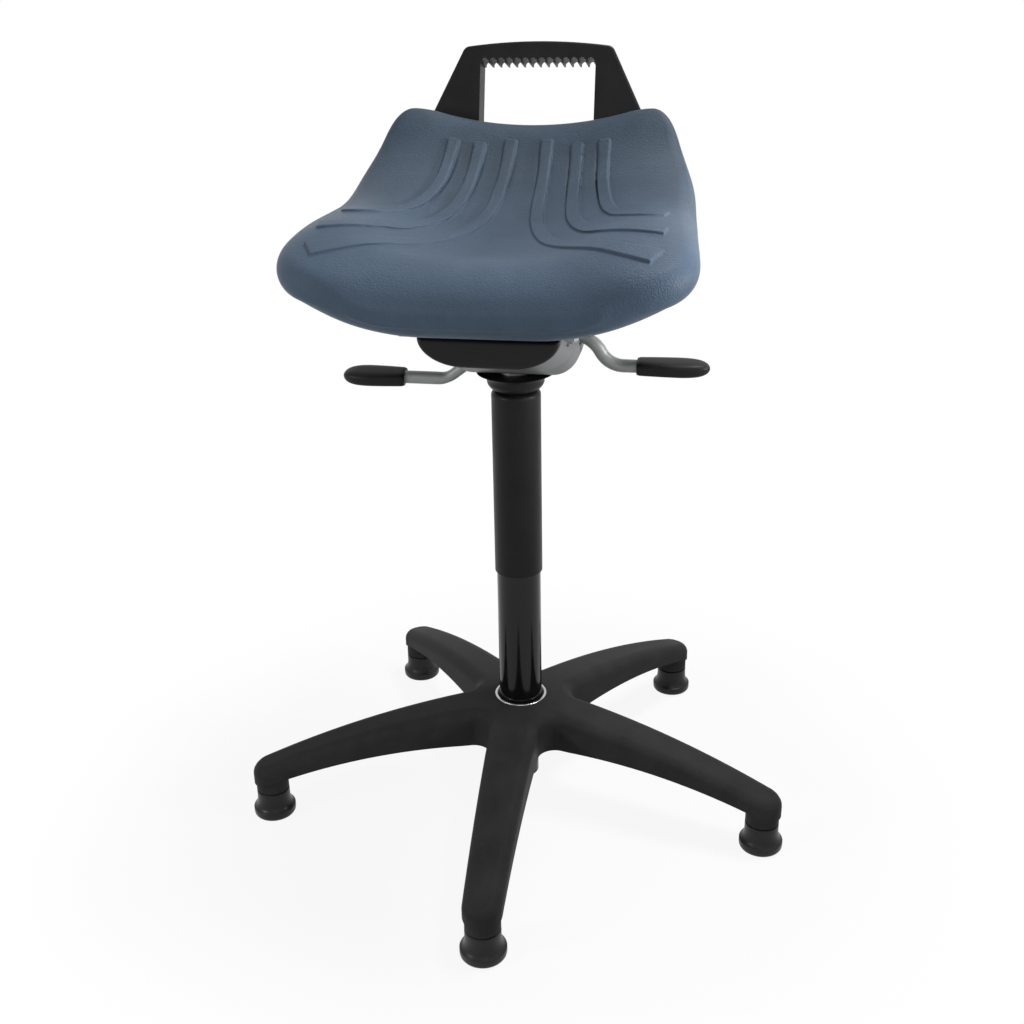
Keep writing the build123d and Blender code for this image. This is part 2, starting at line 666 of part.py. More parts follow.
# Tilt axle across the housing, with a cap on each end.
AXLE_END_X = TUB_HALF_W + AXLE_OVERHANG
with BuildPart() as tilt_axle:
    with BuildSketch(Plane.YZ):
        with Locations((AXLE_Y, AXLE_Z)):
            Circle(AXLE_R)
    extrude(amount=AXLE_END_X, both=True)
save(tilt_axle, "tilt_axle")

with BuildPart() as axle_caps:
    for side in (-1, 1):
        with BuildSketch(Plane.YZ.offset(side * (TUB_HALF_W + RUNNING))):
            with Locations((AXLE_Y, AXLE_Z)):
                Circle(AXLE_CAP_R)
                Circle(AXLE_R + RUNNING, mode=Mode.SUBTRACT)
        extrude(amount=side * AXLE_CAP_H)
save(axle_caps, "axle_caps")

# Seat plate with two ears that hang on the axle.
BOLT_PLACES = [
    (side * BOLT_SPACING_X / 2, y)
    for side in (-1, 1)
    for y in (BOLT_FRONT_Y, BOLT_FRONT_Y + BOLT_SPACING_Y)
]
with BuildPart() as seat_plate:
    with BuildSketch(Plane.XY.offset(PLATE_BOTTOM_Z)) as plate_plan:
        with Locations((0, (PLATE_FRONT_Y + PLATE_BACK_Y) / 2)):
            RectangleRounded(2 * PLATE_HALF_W, PLATE_BACK_Y - PLATE_FRONT_Y, PLATE_CORNER_R)
        Circle(PLATE_WINDOW_R, mode=Mode.SUBTRACT)
        with Locations(*BOLT_PLACES):
            Circle(BOLT_R + SEAT_FIT, mode=Mode.SUBTRACT)
    extrude(amount=PLATE_T)
    for side in (-1, 1):
        with BuildSketch(Plane.YZ.offset(side * EAR_X)):
            with Locations((AXLE_Y, AXLE_Z)):
                Circle(EAR_R)
            with Locations((AXLE_Y, (AXLE_Z + PLATE_BOTTOM_Z) / 2)):
                Rectangle(2 * EAR_R, PLATE_BOTTOM_Z - AXLE_Z)
            with Locations((AXLE_Y, AXLE_Z)):
                Circle(AXLE_R + BUSH_WALL, mode=Mode.SUBTRACT)
        extrude(amount=side * EAR_T)
save(seat_plate, "seat_plate")

with BuildPart() as axle_bushes:
    for side in (-1, 1):
        with BuildSketch(Plane.YZ.offset(side * (EAR_X - EAR_T))):
            with Locations((AXLE_Y, AXLE_Z)):
                Circle(AXLE_R + BUSH_WALL - RUNNING)
                Circle(AXLE_R + RUNNING, mode=Mode.SUBTRACT)
        extrude(amount=side * 3 * EAR_T)
save(axle_bushes, "axle_bushes")

# Brake quadrant that hangs from the seat plate beside the tilt lever.
with BuildPart() as quadrant:
    with BuildSketch(Plane.YZ.offset(QUADRANT_X)) as quadrant_face:
        with Locations(((QUADRANT_FRONT_Y + QUADRANT_BACK_Y) / 2, (QUADRANT_BOTTOM_Z + PLATE_BOTTOM_Z) / 2)):
            Rectangle(QUADRANT_BACK_Y - QUADRANT_FRONT_Y, PLATE_BOTTOM_Z - QUADRANT_BOTTOM_Z)
        fillet(quadrant_face.vertices().group_by(Axis.Y)[0], EAR_R)
    extrude(amount=-QUADRANT_T)
save(quadrant, "quadrant")

with BuildPart() as brake_anvil:
    with BuildSketch(Plane.XZ):
        anvil_x = QUADRANT_X - QUADRANT_T - SEAT_FIT
        wall_x = -TUB_HALF_W + TUB_WALL
        Polygon(
            (wall_x, SHOE_BOTTOM_Z),
            (anvil_x, SHOE_BOTTOM_Z),
            (anvil_x, SHOE_TOP_Z),
            (wall_x, SHOE_TOP_Z),
            align=None,
        )
    extrude(amount=SHOE_HALF, both=True)
save(brake_anvil, "brake_anvil")


def paddle(root, end, height, twist):
    """A flat moulded paddle from the rod end at root to its round tip at end, turned about the rod."""
    sign = 1 if end > root else -1
    flat = Plane(
        origin=(root, 0, height),
        x_dir=(sign, 0, 0),
        z_dir=(0, sin(radians(twist)), cos(radians(twist))),
    )
    length = abs(end - root)
    with BuildPart() as grip:
        with BuildSketch(flat.offset(-PADDLE_T / 2)) as outline:
            Polygon(
                (0, -PADDLE_ROOT_W / 2),
                (PADDLE_WIDEST, -PADDLE_W / 2),
                (length, -PADDLE_TIP_R),
                (length, PADDLE_TIP_R),
                (PADDLE_WIDEST, PADDLE_W / 2),
                (0, PADDLE_ROOT_W / 2),
                align=None,
            )
            fillet(outline.vertices().group_by(Axis.X)[1], PADDLE_WIDEST)
            fillet(outline.vertices().group_by(Axis.X)[-1], PADDLE_TIP_R - RUNNING)
        extrude(amount=PADDLE_T)
        rims = grip.faces().filter_by(flat).edges()
        fillet(rims, PADDLE_EDGE_R)
        with BuildSketch(Plane.YZ.offset(root)):
            with Locations((0, height)):
                Circle(LEVER_ROD_R + RUNNING)
        extrude(amount=sign * ROD_IN_PADDLE, mode=Mode.SUBTRACT)
    return grip


# Height lever: a bent rod with an eye and a tongue that presses the valve pin.
HEIGHT_ROD_END_X = HEIGHT_PADDLE_X + ROD_IN_PADDLE - PLAY
VALVE_TOP_Z = CYLINDER_TOP_Z + VALVE_PROUD
with BuildPart() as height_rod:
    with BuildLine() as height_path:
        FilletPolyline(
            (HEIGHT_PIVOT_X, 0, HEIGHT_ROD_Z),
            (HEIGHT_BEND_X, 0, HEIGHT_ROD_Z),
            (HEIGHT_LOW_X, 0, HEIGHT_LOW_Z),
            (HEIGHT_ROD_END_X, 0, HEIGHT_LOW_Z),
            radius=ROD_BEND_R,
        )
    with BuildSketch(Plane(height_path.line @ 0, z_dir=height_path.line % 0)):
        Circle(LEVER_ROD_R)
    sweep()
    with BuildSketch(Plane.XZ):
        with Locations((HEIGHT_PIVOT_X, HEIGHT_PIVOT_Z)):
            Circle(HEIGHT_HUB_R)
    extrude(amount=LEVER_HUB_HALF, both=True)
    with BuildSketch(Plane.XZ):
        Polygon(
            (TONGUE_TIP_X, VALVE_TOP_Z + SEAT_FIT),
            (HEIGHT_PIVOT_X, VALVE_TOP_Z + SEAT_FIT),
            (HEIGHT_PIVOT_X, VALVE_TOP_Z + TONGUE_T),
            (TONGUE_TIP_X, VALVE_TOP_Z + TONGUE_T),
            align=None,
        )
    extrude(amount=TONGUE_HALF, both=True)
    with BuildSketch(Plane.XZ):
        with Locations((HEIGHT_PIVOT_X, HEIGHT_PIVOT_Z)):
            Circle(PIN_R + RUNNING)
    extrude(amount=2 * LEVER_HUB_HALF, both=True, mode=Mode.SUBTRACT)
save(height_rod, "height_rod")

height_paddle = paddle(HEIGHT_PADDLE_X, HEIGHT_PADDLE_X + HEIGHT_PADDLE_L, HEIGHT_LOW_Z, HEIGHT_TWIST)
save(height_paddle, "height_paddle")

# Tilt lever: a bent rod with an eye and a brake shoe above it.
TILT_ROD_END_X = TILT_PADDLE_X - ROD_IN_PADDLE + PLAY
SHOE_X = QUADRANT_X + SEAT_FIT
with BuildPart() as tilt_rod:
    with BuildLine() as tilt_path:
        FilletPolyline(
            (TILT_PIVOT_X, 0, TILT_PIVOT_Z),
            (TILT_BEND_X, 0, TILT_LOW_Z),
            (TILT_ROD_END_X, 0, TILT_LOW_Z),
            radius=ROD_BEND_R,
        )
    with BuildSketch(Plane(tilt_path.line @ 0, z_dir=tilt_path.line % 0)):
        Circle(LEVER_ROD_R)
    sweep()
    with BuildSketch(Plane.XZ):
        with Locations((TILT_PIVOT_X, TILT_PIVOT_Z)):
            Circle(TILT_HUB_R)
    extrude(amount=LEVER_HUB_HALF, both=True)
    with BuildSketch(Plane.XZ):
        Polygon(
            (SHOE_X + SHOE_T, SHOE_BOTTOM_Z),
            (TILT_PIVOT_X - TILT_HUB_R / 2, TILT_PIVOT_Z),
            (TILT_PIVOT_X + TILT_HUB_R / 2, TILT_PIVOT_Z),
            (SHOE_X + 2 * SHOE_T, SHOE_TOP_Z),
            (SHOE_X + SHOE_T, SHOE_TOP_Z),
            align=None,
        )
    extrude(amount=SHOE_HALF / 2, both=True)
    with BuildSketch(Plane.XZ):
        with Locations((TILT_PIVOT_X, TILT_PIVOT_Z)):
            Circle(PIN_R + RUNNING)
    extrude(amount=2 * LEVER_HUB_HALF, both=True, mode=Mode.SUBTRACT)
save(tilt_rod, "tilt_rod")

with BuildPart() as brake_shoe:
    with BuildSketch(Plane.XZ):
        Polygon(
            (SHOE_X, SHOE_BOTTOM_Z),
            (SHOE_X + SHOE_T, SHOE_BOTTOM_Z),
            (SHOE_X + SHOE_T, SHOE_TOP_Z),
            (SHOE_X, SHOE_TOP_Z),
            align=None,
        )
    extrude(amount=SHOE_HALF, both=True)
save(brake_shoe, "brake_shoe")

tilt_paddle = paddle(TILT_PADDLE_X, TILT_PADDLE_X - TILT_PADDLE_L, TILT_LOW_Z, TILT_TWIST)
save(tilt_paddle, "tilt_paddle")


def pivot_pin(x, z):
    """The pin of a lever, held by the lugs on both sides of its eye."""
    with BuildPart() as pin:
        with BuildSketch(Plane.XZ):
            with Locations((x, z)):
                Circle(PIN_R)
        extrude(amount=LEVER_HUB_HALF + PLAY + LUG_T + PLAY, both=True)
    return pin


def lever_lugs(low, high, pivot_x, pivot_z):
    """Two lugs with a hole for the pin, from one corner (x, z) of their outline to the other."""
    with BuildPart() as lugs:
        for side in (-1, 1):
            with BuildSketch(Plane.XZ.offset(side * (LEVER_HUB_HALF + PLAY))):
                with Locations(((low[0] + high[0]) / 2, (low[1] + high[1]) / 2)):
                    Rectangle(high[0] - low[0], high[1] - low[1])
                with Locations((pivot_x, pivot_z)):
                    Circle(PIN_R + RUNNING, mode=Mode.SUBTRACT)
            extrude(amount=side * LUG_T)
    return lugs


height_pin = pivot_pin(HEIGHT_PIVOT_X, HEIGHT_PIVOT_Z)
save(height_pin, "height_pin")
tilt_pin = pivot_pin(TILT_PIVOT_X, TILT_PIVOT_Z)
save(tilt_pin, "tilt_pin")
height_lugs = lever_lugs(
    (HEIGHT_PIVOT_X - HEIGHT_HUB_R, HEIGHT_PIVOT_Z - HEIGHT_HUB_R),
    (TUB_HALF_W - TUB_WALL, HEIGHT_PIVOT_Z + HEIGHT_HUB_R),
    HEIGHT_PIVOT_X,
    HEIGHT_PIVOT_Z,
)
save(height_lugs, "height_lugs")
tilt_lugs = lever_lugs(
    (TILT_PIVOT_X - TILT_HUB_R, TUB_BOTTOM_Z + TUB_WALL),
    (TILT_PIVOT_X + TILT_HUB_R, TILT_PIVOT_Z + TILT_HUB_R),
    TILT_PIVOT_X,
    TILT_PIVOT_Z,
)
with tilt_lugs:
    add(tilt_housing.part, mode=Mode.SUBTRACT)
save(tilt_lugs, "tilt_lugs")

# Seat shell: a bent board let into the underside of the seat, flat below and raked at the back.
REAR_RUN = tan(radians(REAR_SLOPE))


def rear_y(z):
    """Where the seat's rear face lies at a height."""
    return REAR_Y + (z - REAR_Z) / REAR_RUN


OUT_OF_REAR = (sin(radians(REAR_SLOPE)), -cos(radians(REAR_SLOPE)))
KNEE_Y = rear_y(SEAT_BOTTOM_Z)
BOARD_TOP = (rear_y(SHELL_TOP_Z), SHELL_TOP_Z)


with BuildSketch(Plane.YZ) as board_side:
    with BuildLine():
        skin = FilletPolyline(
            (SHELL_FRONT_Y, SEAT_BOTTOM_Z),
            (KNEE_Y, SEAT_BOTTOM_Z),
            BOARD_TOP,
            radius=SHELL_BEND_R,
        )
        offset(skin, amount=SHELL_T, side=Side.LEFT)
    make_face()

with BuildPart() as tee_nuts:
    with BuildSketch(Plane.XY.offset(SEAT_BOTTOM_Z)):
        with Locations(*BOLT_PLACES):
            Circle(NUT_BARREL_R)
            Circle(BOLT_R + RUNNING, mode=Mode.SUBTRACT)
    extrude(amount=SHELL_T)
    with BuildSketch(Plane.XY.offset(SEAT_BOTTOM_Z + SHELL_T)):
        with Locations(*BOLT_PLACES):
            Circle(NUT_FLANGE_R)
            Circle(BOLT_R + RUNNING, mode=Mode.SUBTRACT)
    extrude(amount=NUT_FLANGE_T)
save(tee_nuts, "tee_nuts")

WASHER_Z = PLATE_BOTTOM_Z - WASHER_T
with BuildPart() as bolt_washers:
    with BuildSketch(Plane.XY.offset(WASHER_Z)):
        with Locations(*BOLT_PLACES):
            Circle(WASHER_R)
            Circle(BOLT_R + SEAT_FIT, mode=Mode.SUBTRACT)
    extrude(amount=WASHER_T)
save(bolt_washers, "bolt_washers")

with BuildPart() as seat_bolts:
    with BuildSketch(Plane.XY.offset(WASHER_Z - BOLT_HEAD_H)):
        with Locations(*BOLT_PLACES):
            RegularPolygon(BOLT_HEAD_R, 6)
    extrude(amount=BOLT_HEAD_H)
    with BuildSketch(Plane.XY.offset(WASHER_Z)):
        with Locations(*BOLT_PLACES):
            Circle(BOLT_R)
    extrude(amount=WASHER_T + PLATE_T + SHELL_T)
save(seat_bolts, "seat_bolts")

# Seat: sections across the seat from the nose at the front to the lip at the back.
# Each gives the place, the heights of the middle of its top and underside over the seat's lowest
# plane, half its width, the height of the wings over the middle, half the width of the dish, and
# the thickness of the rounded edge.
SECTIONS = [
    (-213.0, 43.0, 22.0, 116.0, 1.0, 60.0, 18.0),
    (-208.0, 53.0, 9.0, 150.0, 2.0, 70.0, 26.0),
    (-196.0, 62.0, 1.0, 178.0, 4.0, 80.0, 36.0),
    (-172.0, 66.0, 0.0, 196.0, 9.0, 90.0, 42.0),
    (-132.0, 66.0, 0.0, 200.0, 17.0, 95.0, 44.0),
    (-65.0, 66.5, 0.0, 196.0, 22.0, 95.0, 44.0),
    (-5.0, 70.5, 0.0, 191.5, 19.0, 95.0, 42.0),
    (35.0, 80.0, 18.0, 187.5, 14.0, 95.0, 40.0),
    (68.0, 100.5, REAR_Z - SEAT_BOTTOM_Z, 182.0, 11.0, 95.0, 38.0),
    (98.0, 132.0, 90.0, 166.0, 12.0, 100.0, 34.0),
    (118.0, 152.0, 119.0, 149.0, 17.0, 110.0, 28.0),
    (128.0, 152.0, 133.0, 134.0, 17.0, 100.0, 18.0),
]

with BuildPart() as seat_form:
    for y, over, under, half_width, rise, dish, edge in SECTIONS:
        top = SEAT_BOTTOM_Z + over
        bottom = SEAT_BOTTOM_Z + under
        with BuildSketch(Plane.XZ.offset(-y)):
            with BuildLine():
                hollow = TangentArc((0, top), (dish, top + WING_SHARE * rise), tangent=(1, 0))
                wing = TangentArc(hollow @ 1, (half_width - EDGE_TOP_IN * edge, top + rise), tangent=hollow % 1)
                roll = TangentArc(
                    wing @ 1,
                    (half_width - EDGE_LOW_IN * edge, top + rise - EDGE_DROP * edge),
                    tangent=wing % 1,
                )
                flank = TangentArc((UNDER_FLAT, bottom), roll @ 1, tangent=(1, 0))
                Line((0, bottom), flank @ 0)
                mirror(about=Plane.YZ)
            make_face()
    loft()

# Raised bands on the seat: plans of the right half. Each has an inner and an outer edge, and each
# edge is a line, an arc through a point, and an arc that runs on smoothly to the end.
BANDS = [
    (
        ((13.0, 102.0), (16.0, 46.0), (30.0, -22.0), (64.0, -111.0), (154.0, -187.0)),
        ((26.0, 102.0), (29.0, 46.0), (44.0, -22.0), (80.0, -105.0), (165.0, -165.0)),
    ),
    (
        ((46.0, 98.0), (49.0, 62.0), (57.0, 18.0), (82.0, -60.0), (162.0, -118.0)),
        ((59.5, 98.0), (62.0, 62.0), (71.0, 18.0), (95.0, -48.0), (165.0, -92.0)),
    ),
    (
        ((75.0, 98.0), (78.5, 65.0), (86.0, 39.0), (104.0, -14.0), (158.0, -36.0)),
        ((88.0, 98.0), (91.0, 65.0), (98.0, 42.0), (114.0, 0.0), (162.0, -16.0)),
    ),
]
with BuildPart() as seat_bands:
    with BuildSketch(Plane.XY.offset(REAR_Z)):
        for band in BANDS:
            with BuildLine():
                ends = []
                for back, turn, middle, bend, tail in band:
                    Line(back, turn)
                    bow = ThreePointArc(turn, middle, bend)
                    TangentArc(bend, tail, tangent=bow % 1)
                    ends.append((back, tail))
                Line(ends[0][0], ends[1][0])
                Line(ends[0][1], ends[1][1])
            make_face()
        mirror(about=Plane.YZ)
    extrude(amount=REAR_Z)
    add(seat_form.part.moved(Location((0, -BAND_FORWARD, BAND_LIFT))), mode=Mode.INTERSECT)

with BuildPart() as seat_cushion:
    add(seat_form.part)
    add(seat_bands.part)
    with BuildSketch(Plane.YZ):
        with BuildLine():
            inside = FilletPolyline(
                (SHELL_FRONT_Y, SEAT_BOTTOM_Z),
                (KNEE_Y, SEAT_BOTTOM_Z),
                (rear_y(LIP_Z), LIP_Z),
                radius=SHELL_BEND_R,
            )
            Polyline(inside @ 1, (rear_y(LIP_Z), PLATE_BOTTOM_Z), (SHELL_FRONT_Y, PLATE_BOTTOM_Z), inside @ 0)
        make_face()
    extrude(amount=SHELL_HALF_W, both=True, mode=Mode.SUBTRACT)
    extrude(board_side.sketch, amount=SHELL_HALF_W, both=True, mode=Mode.SUBTRACT)
    with BuildSketch(Plane.XY.offset(SEAT_BOTTOM_Z + SHELL_T)):
        with Locations(*BOLT_PLACES):
            Circle(NUT_FLANGE_R + SEAT_FIT)
    extrude(amount=NUT_FLANGE_T + SEAT_FIT, mode=Mode.SUBTRACT)
save(seat_cushion, "seat_cushion")

# Carrying handle, leaning back, with a toothed grip and a raked foot on the shell.
LEAN = radians(HANDLE_LEAN)
handle_plane = Plane(
    origin=(0, HANDLE_Y, HANDLE_Z),
    x_dir=(1, 0, 0),
    z_dir=(0, -cos(LEAN), sin(LEAN)),
)
FOOT_LOW = (rear_y(FOOT_LOW_Z), FOOT_LOW_Z)
FOOT_TOP = (rear_y(FOOT_TOP_Z), FOOT_TOP_Z)


def on_handle(height, depth):
    """A point (y, z) of the handle, a height up its front face and a depth behind it."""
    return (
        HANDLE_Y + height * sin(LEAN) + depth * cos(LEAN),
        HANDLE_Z + height * cos(LEAN) - depth * sin(LEAN),
    )


foot_plane = Plane(
    origin=(0, *FOOT_LOW),
    x_dir=(-1, 0, 0),
    z_dir=(0, *OUT_OF_REAR),
)
FOOT_LENGTH = (FOOT_TOP_Z - FOOT_LOW_Z) / sin(radians(REAR_SLOPE))
SCREW_PLACES = [
    (side * SCREW_SPACING_X / 2, FOOT_LENGTH / 2 + row * SCREW_SPACING / 2)
    for side in (-1, 1)
    for row in (-1, 1)
]
HEEL = (FOOT_LOW[0] + FOOT_T * OUT_OF_REAR[0], FOOT_LOW[1] + FOOT_T * OUT_OF_REAR[1])
NECK_FRONT = on_handle(HANDLE_NECK, 0)
NECK_BACK = on_handle(HANDLE_NECK, HANDLE_DEPTH)
SWEEP_MIDDLE = (
    (HEEL[0] + NECK_BACK[0]) / 2 - FOOT_HOLLOW * sin(radians(REAR_SLOPE)),
    (HEEL[1] + NECK_BACK[1]) / 2 + FOOT_HOLLOW * cos(radians(REAR_SLOPE)),
)
LEG_SLOPE = (HANDLE_SHOULDER_HALF - HANDLE_TOP_HALF) / (HANDLE_TOP - HANDLE_SHOULDER)


def leg_half(height):
    """Half the width of the handle at a height up its face."""
    return HANDLE_TOP_HALF + (HANDLE_TOP - height) * LEG_SLOPE


with BuildPart() as handle:
    with BuildSketch(handle_plane) as handle_face:
        with BuildLine():
            arch_line = ThreePointArc(
                (-HANDLE_TOP_HALF, HANDLE_TOP),
                (0, HANDLE_TOP + HANDLE_ARCH),
                (HANDLE_TOP_HALF, HANDLE_TOP),
            )
            Polyline(
                arch_line @ 1,
                (HANDLE_SHOULDER_HALF, HANDLE_SHOULDER),
                (FOOT_HALF, HANDLE_NECK),
                (-FOOT_HALF, HANDLE_NECK),
                (-HANDLE_SHOULDER_HALF, HANDLE_SHOULDER),
                arch_line @ 0,
            )
        make_face()
        fillet(handle_face.vertices().group_by(Axis.Y)[1:], HANDLE_CORNER_R)
    extrude(amount=-HANDLE_DEPTH)
    fillet(handle.faces().filter_by(handle_plane).edges(), HANDLE_EDGE_R)
    with BuildSketch(Plane.YZ):
        with BuildLine():
            sweep_line = ThreePointArc(NECK_BACK, SWEEP_MIDDLE, HEEL)
            Polyline(HEEL, FOOT_LOW, FOOT_TOP, NECK_FRONT, on_handle(HANDLE_SHOULDER, HANDLE_DEPTH / 2), NECK_BACK)
        make_face()
    extrude(amount=FOOT_HALF - HANDLE_EDGE_R, both=True)
    with BuildSketch(handle_plane):
        Polygon(
            (-GRIP_HALF, GRIP_BOTTOM),
            (GRIP_HALF, GRIP_BOTTOM),
            (GRIP_HALF, GRIP_TOP),
            (-GRIP_HALF, GRIP_TOP),
            align=None,
        )
        with Locations((0, GRIP_TOP + SCALLOP_RISE)):
            with GridLocations(TOOTH_PITCH, 0, TOOTH_COUNT, 1):
                Circle(SCALLOP_R)
    extrude(amount=2 * HANDLE_DEPTH, both=True, mode=Mode.SUBTRACT)
    for side in (-1, 1):
        with BuildSketch(handle_plane.offset(-HANDLE_DEPTH)):
            Polygon(
                (side * (GRIP_HALF + HANDLE_WALL), GRIP_TOP),
                (side * (leg_half(GRIP_TOP) - HANDLE_WALL), GRIP_TOP),
                (side * (leg_half(HANDLE_WALL) - HANDLE_WALL), HANDLE_WALL),
                (side * (GRIP_HALF + HANDLE_WALL), HANDLE_WALL),
                align=None,
            )
        extrude(amount=HANDLE_DEPTH - HANDLE_WALL, mode=Mode.SUBTRACT)
    with BuildSketch(foot_plane):
        with Locations(*SCREW_PLACES):
            Circle(SCREW_R + SEAT_FIT)
    extrude(amount=SCREW_SEAT, mode=Mode.SUBTRACT)
    with BuildSketch(foot_plane.offset(SCREW_SEAT)):
        with Locations(*SCREW_PLACES):
            Circle(SCREW_HEAD_R + PLAY)
    extrude(amount=HANDLE_DEPTH * 2, mode=Mode.SUBTRACT)
save(handle, "handle")

with BuildPart() as handle_screws:
    with BuildSketch(foot_plane.offset(-SCREW_BITE)):
        with Locations(*SCREW_PLACES):
            Circle(SCREW_R)
    extrude(amount=SCREW_BITE + SCREW_SEAT)
    with BuildSketch(foot_plane.offset(SCREW_SEAT)):
        with Locations(*SCREW_PLACES):
            Circle(SCREW_HEAD_R)
    extrude(amount=SCREW_HEAD_H)
save(handle_screws, "handle_screws")

# Seat shell: a bent board let into the underside, with holes for the tee nuts and the handle's screws.
with BuildPart() as seat_shell:
    extrude(board_side.sketch, amount=SHELL_HALF_W, both=True)
    with BuildSketch(Plane.XY.offset(SEAT_BOTTOM_Z)):
        with Locations(*BOLT_PLACES):
            Circle(NUT_BARREL_R + RUNNING)
    extrude(amount=SHELL_T, mode=Mode.SUBTRACT)
    with BuildSketch(foot_plane):
        with Locations(*SCREW_PLACES):
            Circle(SCREW_R + RUNNING)
    extrude(amount=-SCREW_BITE - PLAY, mode=Mode.SUBTRACT)
save(seat_shell, "seat_shell")
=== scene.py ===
import json
from math import cos, pi, radians, sin, tan

import bmesh
import bpy
from mathutils import Euler, Matrix, Vector


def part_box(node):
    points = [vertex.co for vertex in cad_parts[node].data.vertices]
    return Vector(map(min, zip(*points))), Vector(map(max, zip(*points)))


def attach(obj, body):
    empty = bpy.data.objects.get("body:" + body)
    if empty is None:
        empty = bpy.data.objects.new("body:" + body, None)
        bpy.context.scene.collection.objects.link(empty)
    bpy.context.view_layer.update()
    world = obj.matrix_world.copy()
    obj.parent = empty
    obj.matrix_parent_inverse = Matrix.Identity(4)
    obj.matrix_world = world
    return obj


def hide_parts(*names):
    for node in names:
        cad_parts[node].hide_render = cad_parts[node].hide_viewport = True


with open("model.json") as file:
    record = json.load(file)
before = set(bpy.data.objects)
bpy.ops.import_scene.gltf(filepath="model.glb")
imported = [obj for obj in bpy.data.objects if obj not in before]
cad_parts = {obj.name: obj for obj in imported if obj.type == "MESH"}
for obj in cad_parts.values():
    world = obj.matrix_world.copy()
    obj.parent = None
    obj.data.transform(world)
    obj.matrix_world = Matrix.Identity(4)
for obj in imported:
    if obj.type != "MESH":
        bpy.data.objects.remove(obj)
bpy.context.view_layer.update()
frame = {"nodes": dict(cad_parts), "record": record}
nodes = frame["nodes"]
scene = bpy.context.scene
scene.view_settings.view_transform = "Standard"

MM = 1000                  # millimetres in a metre

# Camera, fitted to the photograph
CAMERA_PLACE = (0.2325, -1.2794, 0.9157)
CAMERA_TURN = 10.3         # degrees to the right of the seat's front
CAMERA_DOWN = 23.027       # degrees below level
CAMERA_ROLL = -0.932       # degrees
CAMERA_LENS = 44.274       # millimetres
CAMERA_SENSOR = 36.0       # millimetres
CAMERA_SHIFT = (-0.00576, -0.00184)

# Soft square lamps, in metres and watts, with the cone of their light in degrees
LAMPS = [
    dict(name="key", place=(0.7, 0.25, 2.45), target=(0, 0, 0.6), width=0.6, power=35, cone=180),
    dict(name="right", place=(1.5, -0.22, 0.84), target=(0.1, -0.05, 0.72), width=0.3, power=2.3, cone=50),
    dict(name="front", place=(0.4, -1.9, 1.5), target=(0, 0, 0.45), width=0.8, power=2.2, cone=180),
    dict(name="left", place=(-1.4, -1.2, 0.9), target=(0, 0, 0.35), width=0.3, power=9.5, cone=180),
]

# Floor and surround
FLOOR_REACH = 1.5          # metres from the middle to each edge
FLOOR_Z = -0.0003          # metres, just under the glides
FLOOR_COLOUR = (0.6, 0.6, 0.6, 1)
FLOOR_ROUGHNESS = 0.9
FLOOR_GLOW = 1.05          # strength of the white that is seen
FLOOR_WHITE = (0.86, 1.0)  # share of that white, near the object and away from it
FLOOR_FADE = (0.35, 0.9)   # metres from the middle, between which the share grows
SURROUND_COLOUR = (1, 1, 1, 1)
SURROUND_LIGHT = 0.22      # strength for the rays that carry light
SURROUND_SEEN = 1.0        # strength for camera, mirror and see-through rays

# Plastics and rubber, with the size and depth of their grain in metres
PLASTIC_PATCH = 0.03       # size of the patches in colour and gloss, in metres
PLASTIC_GLOSS = (-0.05, 0.05)
PLASTICS = {
    "base_plastic": dict(
        dark=(0.031, 0.031, 0.0315), light=(0.041, 0.041, 0.0415), roughness=0.55,
        grain_size=0.0011, grain_depth=0.0002, metallic=0.0, specular=0.04,
    ),
    "glide_plastic": dict(
        dark=(0.015, 0.015, 0.0155), light=(0.02, 0.02, 0.0205), roughness=0.36,
        grain_size=0.002, grain_depth=0.00006, metallic=0.0, specular=0.2,
    ),
    "sleeve_plastic": dict(
        dark=(0.006, 0.006, 0.006), light=(0.009, 0.009, 0.009), roughness=0.42,
        grain_size=0.0014, grain_depth=0.0001, metallic=0.0, specular=0.14,
    ),
    "cover_plastic": dict(
        dark=(0.006, 0.006, 0.006), light=(0.009, 0.009, 0.009), roughness=0.4,
        grain_size=0.0014, grain_depth=0.0001, metallic=0.0, specular=0.18,
    ),
    "paddle_plastic": dict(
        dark=(0.008, 0.008, 0.0085), light=(0.012, 0.012, 0.0125), roughness=0.42,
        grain_size=0.0012, grain_depth=0.00006, metallic=0.0, specular=0.14,
    ),
    "handle_plastic": dict(
        dark=(0.006, 0.006, 0.0065), light=(0.01, 0.01, 0.0105), roughness=0.45,
        grain_size=0.0012, grain_depth=0.00016, metallic=0.0, specular=0.13,
    ),
    "bush_plastic": dict(
        dark=(0.5, 0.5, 0.48), light=(0.6, 0.6, 0.58), roughness=0.45,
        grain_size=0.002, grain_depth=0.00005, metallic=0.0, specular=0.5,
    ),
    "buffer_rubber": dict(
        dark=(0.014, 0.014, 0.014), light=(0.022, 0.022, 0.022), roughness=0.7,
        grain_size=0.002, grain_depth=0.0001, metallic=0.0, specular=0.5,
    ),
}

